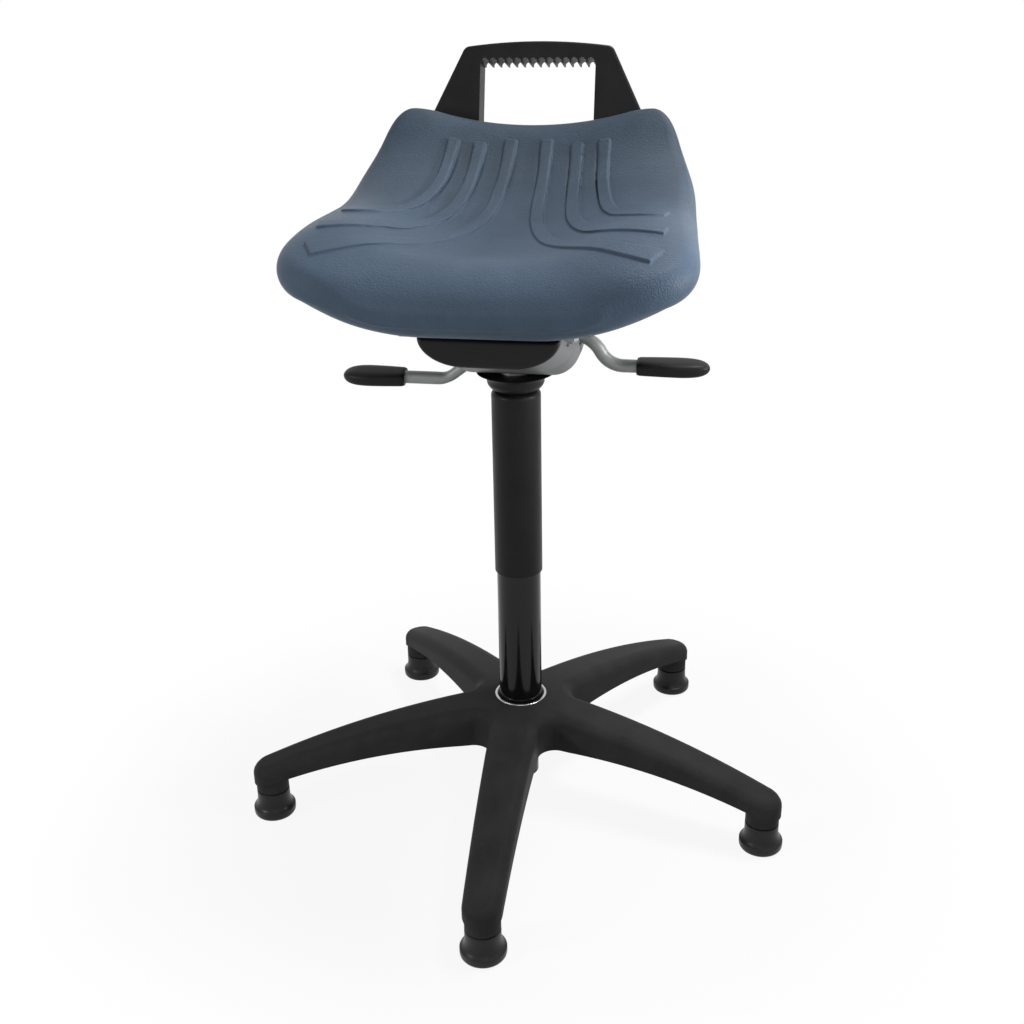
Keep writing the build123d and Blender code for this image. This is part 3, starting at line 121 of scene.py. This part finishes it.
# Bare, plated and painted metals, in the same terms
METAL_PATCH = 0.012
METAL_GLOSS = (-0.04, 0.06)
METALS = {
    "bright_steel": dict(
        dark=(0.42, 0.42, 0.43), light=(0.52, 0.52, 0.53), roughness=0.24,
        grain_size=0.0012, grain_depth=0.00002, metallic=1.0, specular=0.5,
    ),
    "plain_steel": dict(
        dark=(0.2, 0.2, 0.205), light=(0.26, 0.26, 0.265), roughness=0.5,
        grain_size=0.001, grain_depth=0.00002, metallic=1.0, specular=0.5,
    ),
    "zinc_steel": dict(
        dark=(0.24, 0.252, 0.25), light=(0.29, 0.302, 0.3), roughness=0.45,
        grain_size=0.001, grain_depth=0.00004, metallic=0.3, specular=0.5,
    ),
    "black_paint": dict(
        dark=(0.004, 0.004, 0.0045), light=(0.006, 0.006, 0.0065), roughness=0.15,
        grain_size=0.004, grain_depth=0.00002, metallic=0.0, specular=0.25,
    ),
    "grey_paint": dict(
        dark=(0.12, 0.126, 0.13), light=(0.15, 0.156, 0.16), roughness=0.45,
        grain_size=0.002, grain_depth=0.00004, metallic=0.0, specular=0.08,
    ),
}

# Seat skin and plywood
SKIN_DARK = (0.036, 0.05, 0.067)
SKIN_LIGHT = (0.082, 0.121, 0.177)
SKIN_SPECULAR = 0.12
SPECK_SHARE = 0.25         # how much the fine specks add to the lighter colour
WOOD_DARK = (0.36, 0.25, 0.15)
WOOD_LIGHT = (0.47, 0.34, 0.215)
WOOD_SPECULAR = 0.3
WOOD_STRETCH = (9, 1, 1)   # draws the grain out along the seat

# Meshes
SEAT_VOXEL = 0.001         # metres
HOUSING_VOXEL = 0.0012     # metres
WELD = 0.00001             # metres; points closer than this are one
SMOOTH_FACTOR = 0.5
SEAT_ROUNDS = 4            # rounds of smoothing
CALM_ROUNDS = 40
NOSE_ROUNDS = 70
HOUSING_ROUNDS = 3
WEIGHTED = "weighted"      # name of the vertex group that limits a smoothing

# Easing of the seat's top, in metres; a pair is the start and the end of a change
FOOT_FORWARD = 0.038       # how far the foot of the back runs forward into the seat
FOOT_SIDES = (0.165, 0.2)  # distance from the middle over which this fades
FOOT_BACK = (-0.104, -0.01)    # distance in front of the swivel axis over which it comes in; minus is behind
FOOT_FRONT = (0.06, 0.195)     # and over which it fades again
FOOT_FACING = (0.3, 0.75)  # upward part of the normal over which it comes in
NOSE_DROP = 0.016          # how far the top edge of the nose is rolled down
NOSE_ROLL = 0.052          # and over what length behind the edge
NOSE_SIDES = (0.08, 0.17)  # distance from the middle over which this fades
NOSE_LOW = 0.003           # heights above the seat's lowest point between which it comes in
NOSE_HIGH = 0.041
NOSE_START = -0.186        # from here forward the nose is smoothed more
NOSE_FULL = -0.202         # and from here in full

# Paddles in millimetres: node, body, rod end, height, signed length and twist in degrees
PADDLES = [
    ("height_paddle", "height_lever", 130, 535, 76, 8),
    ("tilt_paddle", "tilt_lever", -122, 514, -70, 14),
]
GRIP_STATIONS = 40
GRIP_SIDES = 64
GRIP_CROWDING = 1.6        # draws the stations together near the tip
GRIP_ROOT_HALF = 12.2      # half width at the rod end
GRIP_SWELL = 2.7           # and how much it grows
GRIP_WIDEST = 0.62         # share of the length where it is widest
GRIP_HALF_THICK = 7.8
GRIP_TIP = 0.5             # share of the length where the tip starts to close
GRIP_TIP_WIDE = 2.6        # the higher the power, the blunter the tip
GRIP_TIP_THICK = 4.5
GRIP_ROOT = 0.03           # share of the length over which the rod end is rounded
GRIP_ROOT_WIDE = 1.2       # and by how much
GRIP_ROOT_THICK = 0.6
GRIP_SQUARE = 0.62         # below one squares up the section

# Rods in millimetres: node, body, where the CAD hub is cut off, and the middle line's corners as X and Z
RODS = [
    ("height_rod", "height_lever", 61.5, [(60.5, 565), (82, 565), (100, 535)]),
    ("tilt_rod", "tilt_lever", -49, [(-48, 534.8), (-75, 514)]),
]
ROD_R = 6.0
ROD_SWELL = 1.0            # how much fuller the rods are where they show
ROD_SHOWS = (72, 86)       # distance from the middle over which they swell
ROD_BEND = 28.0            # bend radius of the middle line
ROD_SIDES = 32
ROD_STEPS = 16             # in each bend and each straight

# Housing and cover in millimetres; Y runs along them to the back
COVER_LOW = 573            # lower edge
COVER_TOP = 600            # upper edge
TUB_LOW = 525              # underside, level behind TUB_LEVEL_Y
TUB_LEVEL_Y = -12
TUB_SLOPE = 128            # length of the sloping part in front of it
TUB_RISE = 47              # and how far it rises
TUB_TOP = 601              # upper edge at the front
TUB_FRONT_Y = -140
TUB_LENGTH = 202
TUB_FALL = 17              # how far the upper edge falls to the back
SWEEP_START_Y = -25        # the tub's corners are swept up from here forward
SWEEP_LENGTH = 35
LEAST_DEPTH = 1.0          # keeps a division from zero

# Glides in millimetres: radius and height, from the arm's boss down to the sole
GLIDES = 5
GLIDE_SIDES = 64
GLIDE_OUTLINE = [
    (0, 35), (18.7, 35), (18.6, 34.9), (16.2, 34.8), (16.2, 33.2), (18.5, 33.1), (18.8, 32.9), (18.9, 32.2),
    (18.9, 27), (19.0, 22.5), (19.3, 19), (20.0, 16), (21.0, 13.8), (22.2, 12.2), (23.2, 11.3), (23.8, 10.9),
    (24.2, 10.6), (24.4, 10.1), (24.4, 9.3), (24.4, 4.8), (24.0, 2.8), (23.0, 1.3), (21.5, 0.4), (20.0, 0.1),
    (18.6, 0), (0, 0),
]


def add_camera():
    """The camera at the photograph's place."""
    data = bpy.data.cameras.new("camera")
    data.lens = CAMERA_LENS
    data.sensor_width = CAMERA_SENSOR
    data.shift_x, data.shift_y = CAMERA_SHIFT
    camera = bpy.data.objects.new("camera", data)
    turn = Euler((radians(90 - CAMERA_DOWN), 0, radians(CAMERA_TURN))).to_matrix()
    roll = Matrix.Rotation(radians(CAMERA_ROLL), 3, "Z")
    camera.matrix_world = Matrix.Translation(CAMERA_PLACE) @ (turn @ roll).to_4x4()
    scene.collection.objects.link(camera)
    scene.camera = camera


def add_lamp(name, place, target, width, power, cone):
    """A square soft lamp that faces a point, with its light kept within a cone in degrees."""
    data = bpy.data.lights.new(name, "AREA")
    data.shape = "SQUARE"
    data.size = width
    data.energy = power
    data.spread = radians(cone)
    lamp = bpy.data.objects.new(name, data)
    aim = Vector(target) - Vector(place)
    lamp.matrix_world = Matrix.Translation(place) @ aim.to_track_quat("-Z", "Y").to_matrix().to_4x4()
    scene.collection.objects.link(lamp)


class Surface:
    """A node material under construction, with its shader and a few ready-made steps."""

    def __init__(self, name):
        self.material = bpy.data.materials.new(name)
        self.material.use_nodes = True
        self.tree = self.material.node_tree
        self.shader = self.tree.nodes["Principled BSDF"]
        self.place = self.add("ShaderNodeTexCoord").outputs["Object"]

    def add(self, kind, **values):
        """Adds a node and sets its properties."""
        node = self.tree.nodes.new(kind)
        for key, value in values.items():
            setattr(node, key, value)
        return node

    def link(self, output, socket):
        """Links an output to a socket."""
        self.tree.links.new(output, socket)

    def drive(self, name, output):
        """Links an output to a socket of the shader."""
        self.link(output, self.shader.inputs[name])

    def fix(self, name, value):
        """Sets a socket of the shader to one value all over."""
        self.shader.inputs[name].default_value = value

    def noise(self, size, detail):
        """Noise with features of a size in metres, as a value round one half."""
        node = self.add("ShaderNodeTexNoise")
        node.inputs["Scale"].default_value = 1 / size
        node.inputs["Detail"].default_value = detail
        self.link(self.place, node.inputs["Vector"])
        return node.outputs["Fac"]

    def spread(self, value, low, high, start=0.3, end=0.7):
        """Maps a value from start..end to low..high; noise mostly lies within the usual start and end."""
        node = self.add("ShaderNodeMapRange")
        node.inputs["From Min"].default_value = start
        node.inputs["From Max"].default_value = end
        node.inputs["To Min"].default_value = low
        node.inputs["To Max"].default_value = high
        self.link(value, node.inputs["Value"])
        return node.outputs["Result"]

    def two_colours(self, value, dark, light):
        """Mixes two colours by a value."""
        node = self.add("ShaderNodeMix", data_type="RGBA")
        for socket, colour in zip([s for s in node.inputs if s.type == "RGBA"], (dark, light)):
            socket.default_value = (*colour, 1)
        self.link(value, node.inputs["Factor"])
        return [s for s in node.outputs if s.type == "RGBA"][0]

    def bump(self, height, depth, below=None):
        """Raises the surface by a height value, on top of an earlier bump."""
        node = self.add("ShaderNodeBump")
        node.inputs["Distance"].default_value = depth
        self.link(height, node.inputs["Height"])
        if below is not None:
            self.link(below, node.inputs["Normal"])
        return node.outputs["Normal"]


def mottled(slot, look, patch_size, gloss):
    """A surface with mottled colour, a fine grain and a gloss that varies a little."""
    surface = Surface(slot)
    patches = surface.noise(patch_size, detail=3.0)
    grain = surface.noise(look["grain_size"], detail=2.0)
    share = surface.spread(patches, low=0.0, high=1.0)
    rough = [look["roughness"] + change for change in gloss]
    surface.drive("Base Color", surface.two_colours(share, look["dark"], look["light"]))
    surface.drive("Roughness", surface.spread(patches, *rough))
    surface.drive("Normal", surface.bump(grain, look["grain_depth"]))
    surface.fix("Metallic", look["metallic"])
    surface.fix("Specular IOR Level", look["specular"])
    return surface.material


def foam_skin(slot):
    """The skin of the foam seat: slate blue, with painted light that makes it lighter towards the front and
    painted shade that darkens its back, and a fine leathery grain.
    """
    surface = Surface(slot)
    patches = surface.noise(size=0.05, detail=4.0)
    specks = surface.noise(size=0.004, detail=3.0)
    grain = surface.noise(size=0.0016, detail=3.0)
    waves = surface.noise(size=0.02, detail=2.0)
    axes = surface.add("ShaderNodeSeparateXYZ")
    surface.link(surface.place, axes.inputs["Vector"])
    # Painted light and shade: the colour grows lighter towards the nose at the front and darker towards the
    # seat's back wall.
    front_painted_light = surface.spread(axes.outputs["Y"], low=0.55, high=0.0, start=-0.2, end=0.08)
    mottle = surface.add("ShaderNodeMath", operation="MULTIPLY_ADD")
    surface.link(specks, mottle.inputs[0])
    mottle.inputs[1].default_value = SPECK_SHARE
    surface.link(surface.spread(patches, low=0.0, high=0.2), mottle.inputs[2])
    mixed = surface.add("ShaderNodeMath", operation="ADD")
    surface.link(mottle.outputs["Value"], mixed.inputs[0])
    surface.link(front_painted_light, mixed.inputs[1])
    surface.drive("Base Color", surface.two_colours(mixed.outputs["Value"], SKIN_DARK, SKIN_LIGHT))
    surface.drive("Roughness", surface.spread(specks, low=0.4, high=0.5))
    wavy = surface.bump(waves, depth=0.0004)
    surface.drive("Normal", surface.bump(grain, depth=0.0006, below=wavy))
    surface.fix("Specular IOR Level", SKIN_SPECULAR)
    return surface.material


def plywood(slot):
    """Beech plywood, seen from the sides, behind and below, with its grain along the seat."""
    surface = Surface(slot)
    stretch = surface.add("ShaderNodeMapping")
    stretch.inputs["Scale"].default_value = WOOD_STRETCH
    surface.link(surface.place, stretch.inputs["Vector"])
    surface.place = stretch.outputs["Vector"]
    streaks = surface.noise(size=0.03, detail=6.0)
    pores = surface.noise(size=0.006, detail=2.0)
    share = surface.spread(streaks, low=0.0, high=1.0)
    surface.drive("Base Color", surface.two_colours(share, WOOD_DARK, WOOD_LIGHT))
    surface.drive("Roughness", surface.spread(pores, low=0.5, high=0.65))
    surface.drive("Normal", surface.bump(pores, depth=0.00008))
    surface.fix("Specular IOR Level", WOOD_SPECULAR)
    return surface.material


looks = {
    "seat_skin": foam_skin("seat_skin"),
    "shell_wood": plywood("shell_wood"),
}
for slot, look in PLASTICS.items():
    looks[slot] = mottled(slot, look, PLASTIC_PATCH, PLASTIC_GLOSS)
for slot, look in METALS.items():
    looks[slot] = mottled(slot, look, METAL_PATCH, METAL_GLOSS)


def dress_nodes():
    """Gives every CAD node the look of its slot."""
    for row in frame["record"]["subparts"]:
        mesh = nodes[row["node"]].data
        mesh.materials.clear()
        mesh.materials.append(looks[row["material_slot"]])


def ready(name, node, mesh, slot, body):
    """Adds a finished mesh as the piece that stands for a CAD node."""
    piece = bpy.data.objects.new(name, mesh)
    scene.collection.objects.link(piece)
    mesh.materials.clear()
    mesh.materials.append(looks[slot])
    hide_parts(node)
    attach(piece, body)
    return piece


def clamp(value):
    """A value held between zero and one."""
    return min(max(value, 0.0), 1.0)


def smooth_step(value, start, end):
    """Zero before start, one after end, and an even curve between them."""
    share = clamp((value - start) / (end - start))
    return share * share * (3 - 2 * share)


def blunt(value, power):
    """A value of -1..1 pushed outwards, which squares up a circle."""
    return abs(value) ** power * (1 if value > 0 else -1)


def remeshing(size):
    """A modifier step that rebuilds a mesh from voxels of a size in metres."""
    return "REMESH", {"mode": "VOXEL", "voxel_size": size}


def smoothing(rounds, **settings):
    """A modifier step that smooths a mesh."""
    return "SMOOTH", {"iterations": rounds, "factor": SMOOTH_FACTOR, **settings}


def welding():
    """A modifier step that joins points which lie together."""
    return "WELD", {"merge_threshold": WELD}


def after(mesh, *steps, weights=None):
    """The mesh that a row of modifier steps makes; weights by vertex number go into a vertex group."""
    work = bpy.data.objects.new("work", mesh)
    scene.collection.objects.link(work)
    if weights is not None:
        group = work.vertex_groups.new(name=WEIGHTED)
        for index, weight in weights.items():
            group.add([index], weight, "REPLACE")
    for kind, settings in steps:
        modifier = work.modifiers.new(kind, kind)
        for key, value in settings.items():
            setattr(modifier, key, value)
    bpy.context.view_layer.update()
    made = bpy.data.meshes.new_from_object(work.evaluated_get(bpy.context.evaluated_depsgraph_get()))
    bpy.data.objects.remove(work)
    for face in made.polygons:
        face.use_smooth = True
    return made


def ease_top(mesh):
    """Runs the foot of the seat's back forward and rolls the nose down in a longer curve."""
    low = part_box("seat_cushion")[0]
    calm = after(mesh.copy(), smoothing(CALM_ROUNDS))
    for vertex, even in zip(mesh.vertices, calm.vertices):
        x, y, z = vertex.co
        inside = 1 - smooth_step(abs(x), *FOOT_SIDES)
        forward = smooth_step(-y, *FOOT_BACK) * (1 - smooth_step(-y, *FOOT_FRONT))
        vertex.co.y -= FOOT_FORWARD * inside * forward * smooth_step(even.normal.z, *FOOT_FACING)
        near = max(0.0, 1 - (y - low[1]) / NOSE_ROLL) * (1 - smooth_step(abs(x), *NOSE_SIDES))
        vertex.co.z -= NOSE_DROP * near ** 2 * smooth_step(z, low[2] + NOSE_LOW, low[2] + NOSE_HIGH)
    bpy.data.meshes.remove(calm)
    mesh.update()


def soft_seat():
    """The foam seat, remeshed from the CAD solid and smoothed, most of all round its nose."""
    solid = nodes["seat_cushion"]
    body = after(
        solid.data.copy(),
        remeshing(SEAT_VOXEL),
        ("SHRINKWRAP", {"target": solid}),
        smoothing(SEAT_ROUNDS),
    )
    ease_top(body)
    weights = {}
    for vertex in body.vertices:
        share = (NOSE_START - vertex.co.y) / (NOSE_START - NOSE_FULL)
        if share > 0:
            weights[vertex.index] = min(share, 1.0)
    body = after(body, smoothing(NOSE_ROUNDS, vertex_group=WEIGHTED), weights=weights)
    seat = ready("foam_seat", "seat_cushion", body, "seat_skin", "seat")


def paddles():
    """The two lever paddles: flat rounded grips that swell from the rod end and close in a round tip."""
    for node, body, start, height, length, twist in PADDLES:
        mesh = flat_grip(node, start, height, length, radians(twist))
        ready("grip_" + node, node, mesh, "paddle_plastic", body)


def flat_grip(name, start, height, length, twist):
    """A mesh of rounded sections along X, each a soft-cornered oblong."""
    points = []
    faces = []
    for station in range(GRIP_STATIONS + 1):
        along = 1 - (1 - station / GRIP_STATIONS) ** GRIP_CROWDING
        swell = GRIP_ROOT_HALF + GRIP_SWELL * sin(min(along / GRIP_WIDEST, 1.0) * pi / 2)
        tip = max(0.0, (along - GRIP_TIP) / (1 - GRIP_TIP))
        root = max(0.0, 1 - along / GRIP_ROOT)
        half_wide = swell * (1 - tip ** GRIP_TIP_WIDE) ** 0.5 - GRIP_ROOT_WIDE * root
        half_thick = GRIP_HALF_THICK * (1 - tip ** GRIP_TIP_THICK) ** 0.5 - GRIP_ROOT_THICK * root
        for side in range(GRIP_SIDES):
            angle = 2 * pi * side / GRIP_SIDES
            across = half_wide * blunt(cos(angle), GRIP_SQUARE)
            up = half_thick * blunt(sin(angle), GRIP_SQUARE)
            y = across * cos(twist) - up * sin(twist)
            z = across * sin(twist) + up * cos(twist)
            points.append(((start + along * length) / MM, y / MM, (height + z) / MM))
    for station in range(GRIP_STATIONS):
        for side in range(GRIP_SIDES):
            here = station * GRIP_SIDES + side
            there = station * GRIP_SIDES + (side + 1) % GRIP_SIDES
            faces.append((here, there, there + GRIP_SIDES, here + GRIP_SIDES))
    faces.append(tuple(range(GRIP_SIDES - 1, -1, -1)))
    mesh = bpy.data.meshes.new(name)
    mesh.from_pydata(points, [], faces)
    if length < 0:
        mesh.flip_normals()
    return after(mesh, welding())


def rods():
    """The lever rods: the CAD hub with a smooth tube that is a little fuller and has wider bends."""
    for node, body, cut, corners in RODS:
        low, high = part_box(node)
        end = low[0] if cut < 0 else high[0]
        points, faces = tube(bent_line(corners + [(end * MM, corners[-1][1])]))
        build = hub(node, cut)
        added = [build.verts.new(point) for point in points]
        for face in faces:
            build.faces.new([added[index] for index in face]).smooth = True
        mesh = bpy.data.meshes.new(node)
        build.to_mesh(mesh)
        build.free()
        ready("full_" + node, node, mesh, "zinc_steel", body)


def hub(node, cut):
    """The inner end of a CAD rod, cut off at an X in millimetres and closed there."""
    build = bmesh.new()
    build.from_mesh(nodes[node].data)
    bmesh.ops.remove_doubles(build, verts=build.verts, dist=WELD)
    halved = bmesh.ops.bisect_plane(
        build,
        geom=[*build.verts, *build.edges, *build.faces],
        plane_co=(cut / MM, 0, 0),
        plane_no=(cut, 0, 0),
        clear_outer=True,
    )
    rim = [item for item in halved["geom_cut"] if isinstance(item, bmesh.types.BMEdge)]
    bmesh.ops.holes_fill(build, edges=rim)
    for face in build.faces:
        face.smooth = False
    return build


def bent_line(corners):
    """A line through corners in millimetres, with an arc in each bend."""
    line = [Vector(corners[0])]
    for before, corner, following in zip(corners, corners[1:], corners[2:]):
        back = (Vector(before) - Vector(corner)).normalized()
        on = (Vector(following) - Vector(corner)).normalized()
        half = back.angle(on) / 2
        centre = Vector(corner) + (back + on).normalized() * ROD_BEND / sin(half)
        reach = ROD_BEND / tan(half)
        first = Vector(corner) + back * reach - centre
        last = Vector(corner) + on * reach - centre
        straight(line, centre + first)
        for step in range(1, ROD_STEPS + 1):
            spoke = first.lerp(last, step / ROD_STEPS).normalized()
            line.append(centre + spoke * ROD_BEND)
    straight(line, Vector(corners[-1]))
    return line


def straight(line, end):
    """Runs a line on to its next point in short steps."""
    start = line[-1]
    for step in range(1, ROD_STEPS + 1):
        line.append(start.lerp(end, step / ROD_STEPS))


def tube(line):
    """Points in metres and faces of a round rod along a line in the XZ plane, with closed ends."""
    points = []
    faces = []
    for number, place in enumerate(line):
        ahead = line[min(number + 1, len(line) - 1)] - line[max(number - 1, 0)]
        across = Vector((-ahead.y, ahead.x)).normalized()
        radius = ROD_R + ROD_SWELL * smooth_step(abs(place.x), *ROD_SHOWS)
        for side in range(ROD_SIDES):
            angle = 2 * pi * side / ROD_SIDES
            out = place + across * radius * cos(angle)
            points.append(Vector((out.x, radius * sin(angle), out.y)) / MM)
    for number in range(len(line) - 1):
        for side in range(ROD_SIDES):
            here = number * ROD_SIDES + side
            there = number * ROD_SIDES + (side + 1) % ROD_SIDES
            faces.append((here, here + ROD_SIDES, there + ROD_SIDES, there))
    faces.append(range(ROD_SIDES))
    faces.append(range(len(points) - 1, len(points) - ROD_SIDES - 1, -1))
    return points, faces


def low_of_tub(y):
    """Height of the housing's underside in millimetres at a place along it."""
    return TUB_LOW + TUB_RISE * clamp((TUB_LEVEL_Y - y) / TUB_SLOPE)


def top_of_tub(y):
    """Height of the housing's upper edge in millimetres at a place along it."""
    return TUB_TOP - TUB_FALL * (y - TUB_FRONT_Y) / TUB_LENGTH


def share_of_tub(y):
    """How far the housing's corners are swept up at a place along it, from zero to one."""
    return clamp((SWEEP_START_Y - y) / SWEEP_LENGTH)


def housing():
    """The tilt housing and its cover, with their lower corners swept up in wide curves."""
    sweep(
        "swept_cover", "front_cover", "cover_plastic",
        half=69, corner=24, reach=43, rise=26, belly=2.5,
        low=lambda y: COVER_LOW, top=lambda y: COVER_TOP, share=lambda y: 1.0,
    )
    sweep(
        "swept_housing", "tilt_housing", "grey_paint",
        half=70, corner=28, reach=44, rise=28, belly=0,
        low=low_of_tub, top=top_of_tub, share=share_of_tub,
    )


def sweep(name, node, slot, half, corner, reach, rise, belly, low, top, share):
    """A copy of a CAD node with wider curves at its lower corners and a bellied lower edge.

    In millimetres: half its width, the corner radius of the solid, the reach and rise of the new curve, and
    the depth of the belly. The lower edge, the upper edge and the share of the change are functions of Y.
    """
    mesh = after(nodes[node].data.copy(), remeshing(HOUSING_VOXEL), smoothing(HOUSING_ROUNDS))
    for vertex in mesh.vertices:
        x, y, z = vertex.co * MM
        out = min(abs(x), half)
        was = corner - (corner ** 2 - max(0.0, out - half + corner) ** 2) ** 0.5
        wanted = rise * (1 - (1 - (max(0.0, out - half + reach) / reach) ** 2) ** 0.5)
        wanted -= belly * (1 - (out / half) ** 2)
        floor = low(y) + was
        weight = clamp((top(y) - z) / max(top(y) - floor, LEAST_DEPTH))
        vertex.co.z += (wanted - was) * weight * share(y) / MM
    mesh.update()
    ready(name, node, mesh, slot, "carrier")


def glides():
    """The five glides, each turned from one outline."""
    for number in range(1, GLIDES + 1):
        node = f"glide_{number}"
        low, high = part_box(node)
        middle = ((low[0] + high[0]) / 2, (low[1] + high[1]) / 2)
        ready("turned_" + node, node, turned(node, middle), "glide_plastic", "base")


def turned(name, middle):
    """A mesh turned from the glide's outline round an upright line."""
    points = []
    faces = []
    for side in range(GLIDE_SIDES):
        angle = 2 * pi * side / GLIDE_SIDES
        for radius, height in GLIDE_OUTLINE:
            x = middle[0] + radius / MM * cos(angle)
            y = middle[1] + radius / MM * sin(angle)
            points.append((x, y, height / MM))
    rows = len(GLIDE_OUTLINE)
    for side in range(GLIDE_SIDES):
        here = side * rows
        there = (side + 1) % GLIDE_SIDES * rows
        for row in range(rows - 1):
            faces.append((here + row, here + row + 1, there + row + 1, there + row))
    mesh = bpy.data.meshes.new(name)
    mesh.from_pydata(points, [], faces)
    return after(mesh, welding())


def pale_floor():
    """A white floor that keeps a faint shadow near the object."""
    mesh = bpy.data.meshes.new("floor")
    corners = [
        (-FLOOR_REACH, -FLOOR_REACH, FLOOR_Z),
        (FLOOR_REACH, -FLOOR_REACH, FLOOR_Z),
        (FLOOR_REACH, FLOOR_REACH, FLOOR_Z),
        (-FLOOR_REACH, FLOOR_REACH, FLOOR_Z),
    ]
    mesh.from_pydata(corners, [], [(0, 1, 2, 3)])
    floor = bpy.data.objects.new("floor", mesh)
    scene.collection.objects.link(floor)
    surface = Surface("floor")
    surface.fix("Base Color", FLOOR_COLOUR)
    surface.fix("Roughness", FLOOR_ROUGHNESS)
    surface.fix("Specular IOR Level", 0.0)
    white = surface.add("ShaderNodeEmission")
    white.inputs["Strength"].default_value = FLOOR_GLOW
    away = surface.add("ShaderNodeVectorMath", operation="LENGTH")
    surface.link(surface.place, away.inputs[0])
    share = surface.spread(away.outputs["Value"], *FLOOR_WHITE, *FLOOR_FADE)
    seen = surface.add("ShaderNodeMath", operation="MULTIPLY")
    surface.link(seen_rays(surface.tree), seen.inputs[0])
    surface.link(share, seen.inputs[1])
    mix = surface.add("ShaderNodeMixShader")
    surface.link(seen.outputs["Value"], mix.inputs["Fac"])
    surface.link(surface.shader.outputs["BSDF"], mix.inputs[1])
    surface.link(white.outputs["Emission"], mix.inputs[2])
    surface.link(mix.outputs["Shader"], surface.tree.nodes["Material Output"].inputs["Surface"])
    mesh.materials.append(surface.material)


def white_surround():
    """A surround that is seen as white and lights the object softly."""
    world = bpy.data.worlds.new("surround")
    scene.world = world
    world.use_nodes = True
    tree = world.node_tree
    background = tree.nodes["Background"]
    background.inputs["Color"].default_value = SURROUND_COLOUR
    strength = tree.nodes.new("ShaderNodeMapRange")
    strength.inputs["To Min"].default_value = SURROUND_LIGHT
    strength.inputs["To Max"].default_value = SURROUND_SEEN
    tree.links.new(seen_rays(tree), strength.inputs["Value"])
    tree.links.new(strength.outputs["Result"], background.inputs["Strength"])


def seen_rays(tree):
    """One for camera, mirror and see-through rays, zero for the rays that carry light."""
    path = tree.nodes.new("ShaderNodeLightPath")
    total = path.outputs["Is Camera Ray"]
    for name in ("Is Glossy Ray", "Is Transmission Ray"):
        larger = tree.nodes.new("ShaderNodeMath")
        larger.operation = "MAXIMUM"
        tree.links.new(total, larger.inputs[0])
        tree.links.new(path.outputs[name], larger.inputs[1])
        total = larger.outputs["Value"]
    return total


add_camera()
pale_floor()
white_surround()
for lamp in LAMPS:
    add_lamp(**lamp)
dress_nodes()
soft_seat()
paddles()
rods()
housing()
glides()
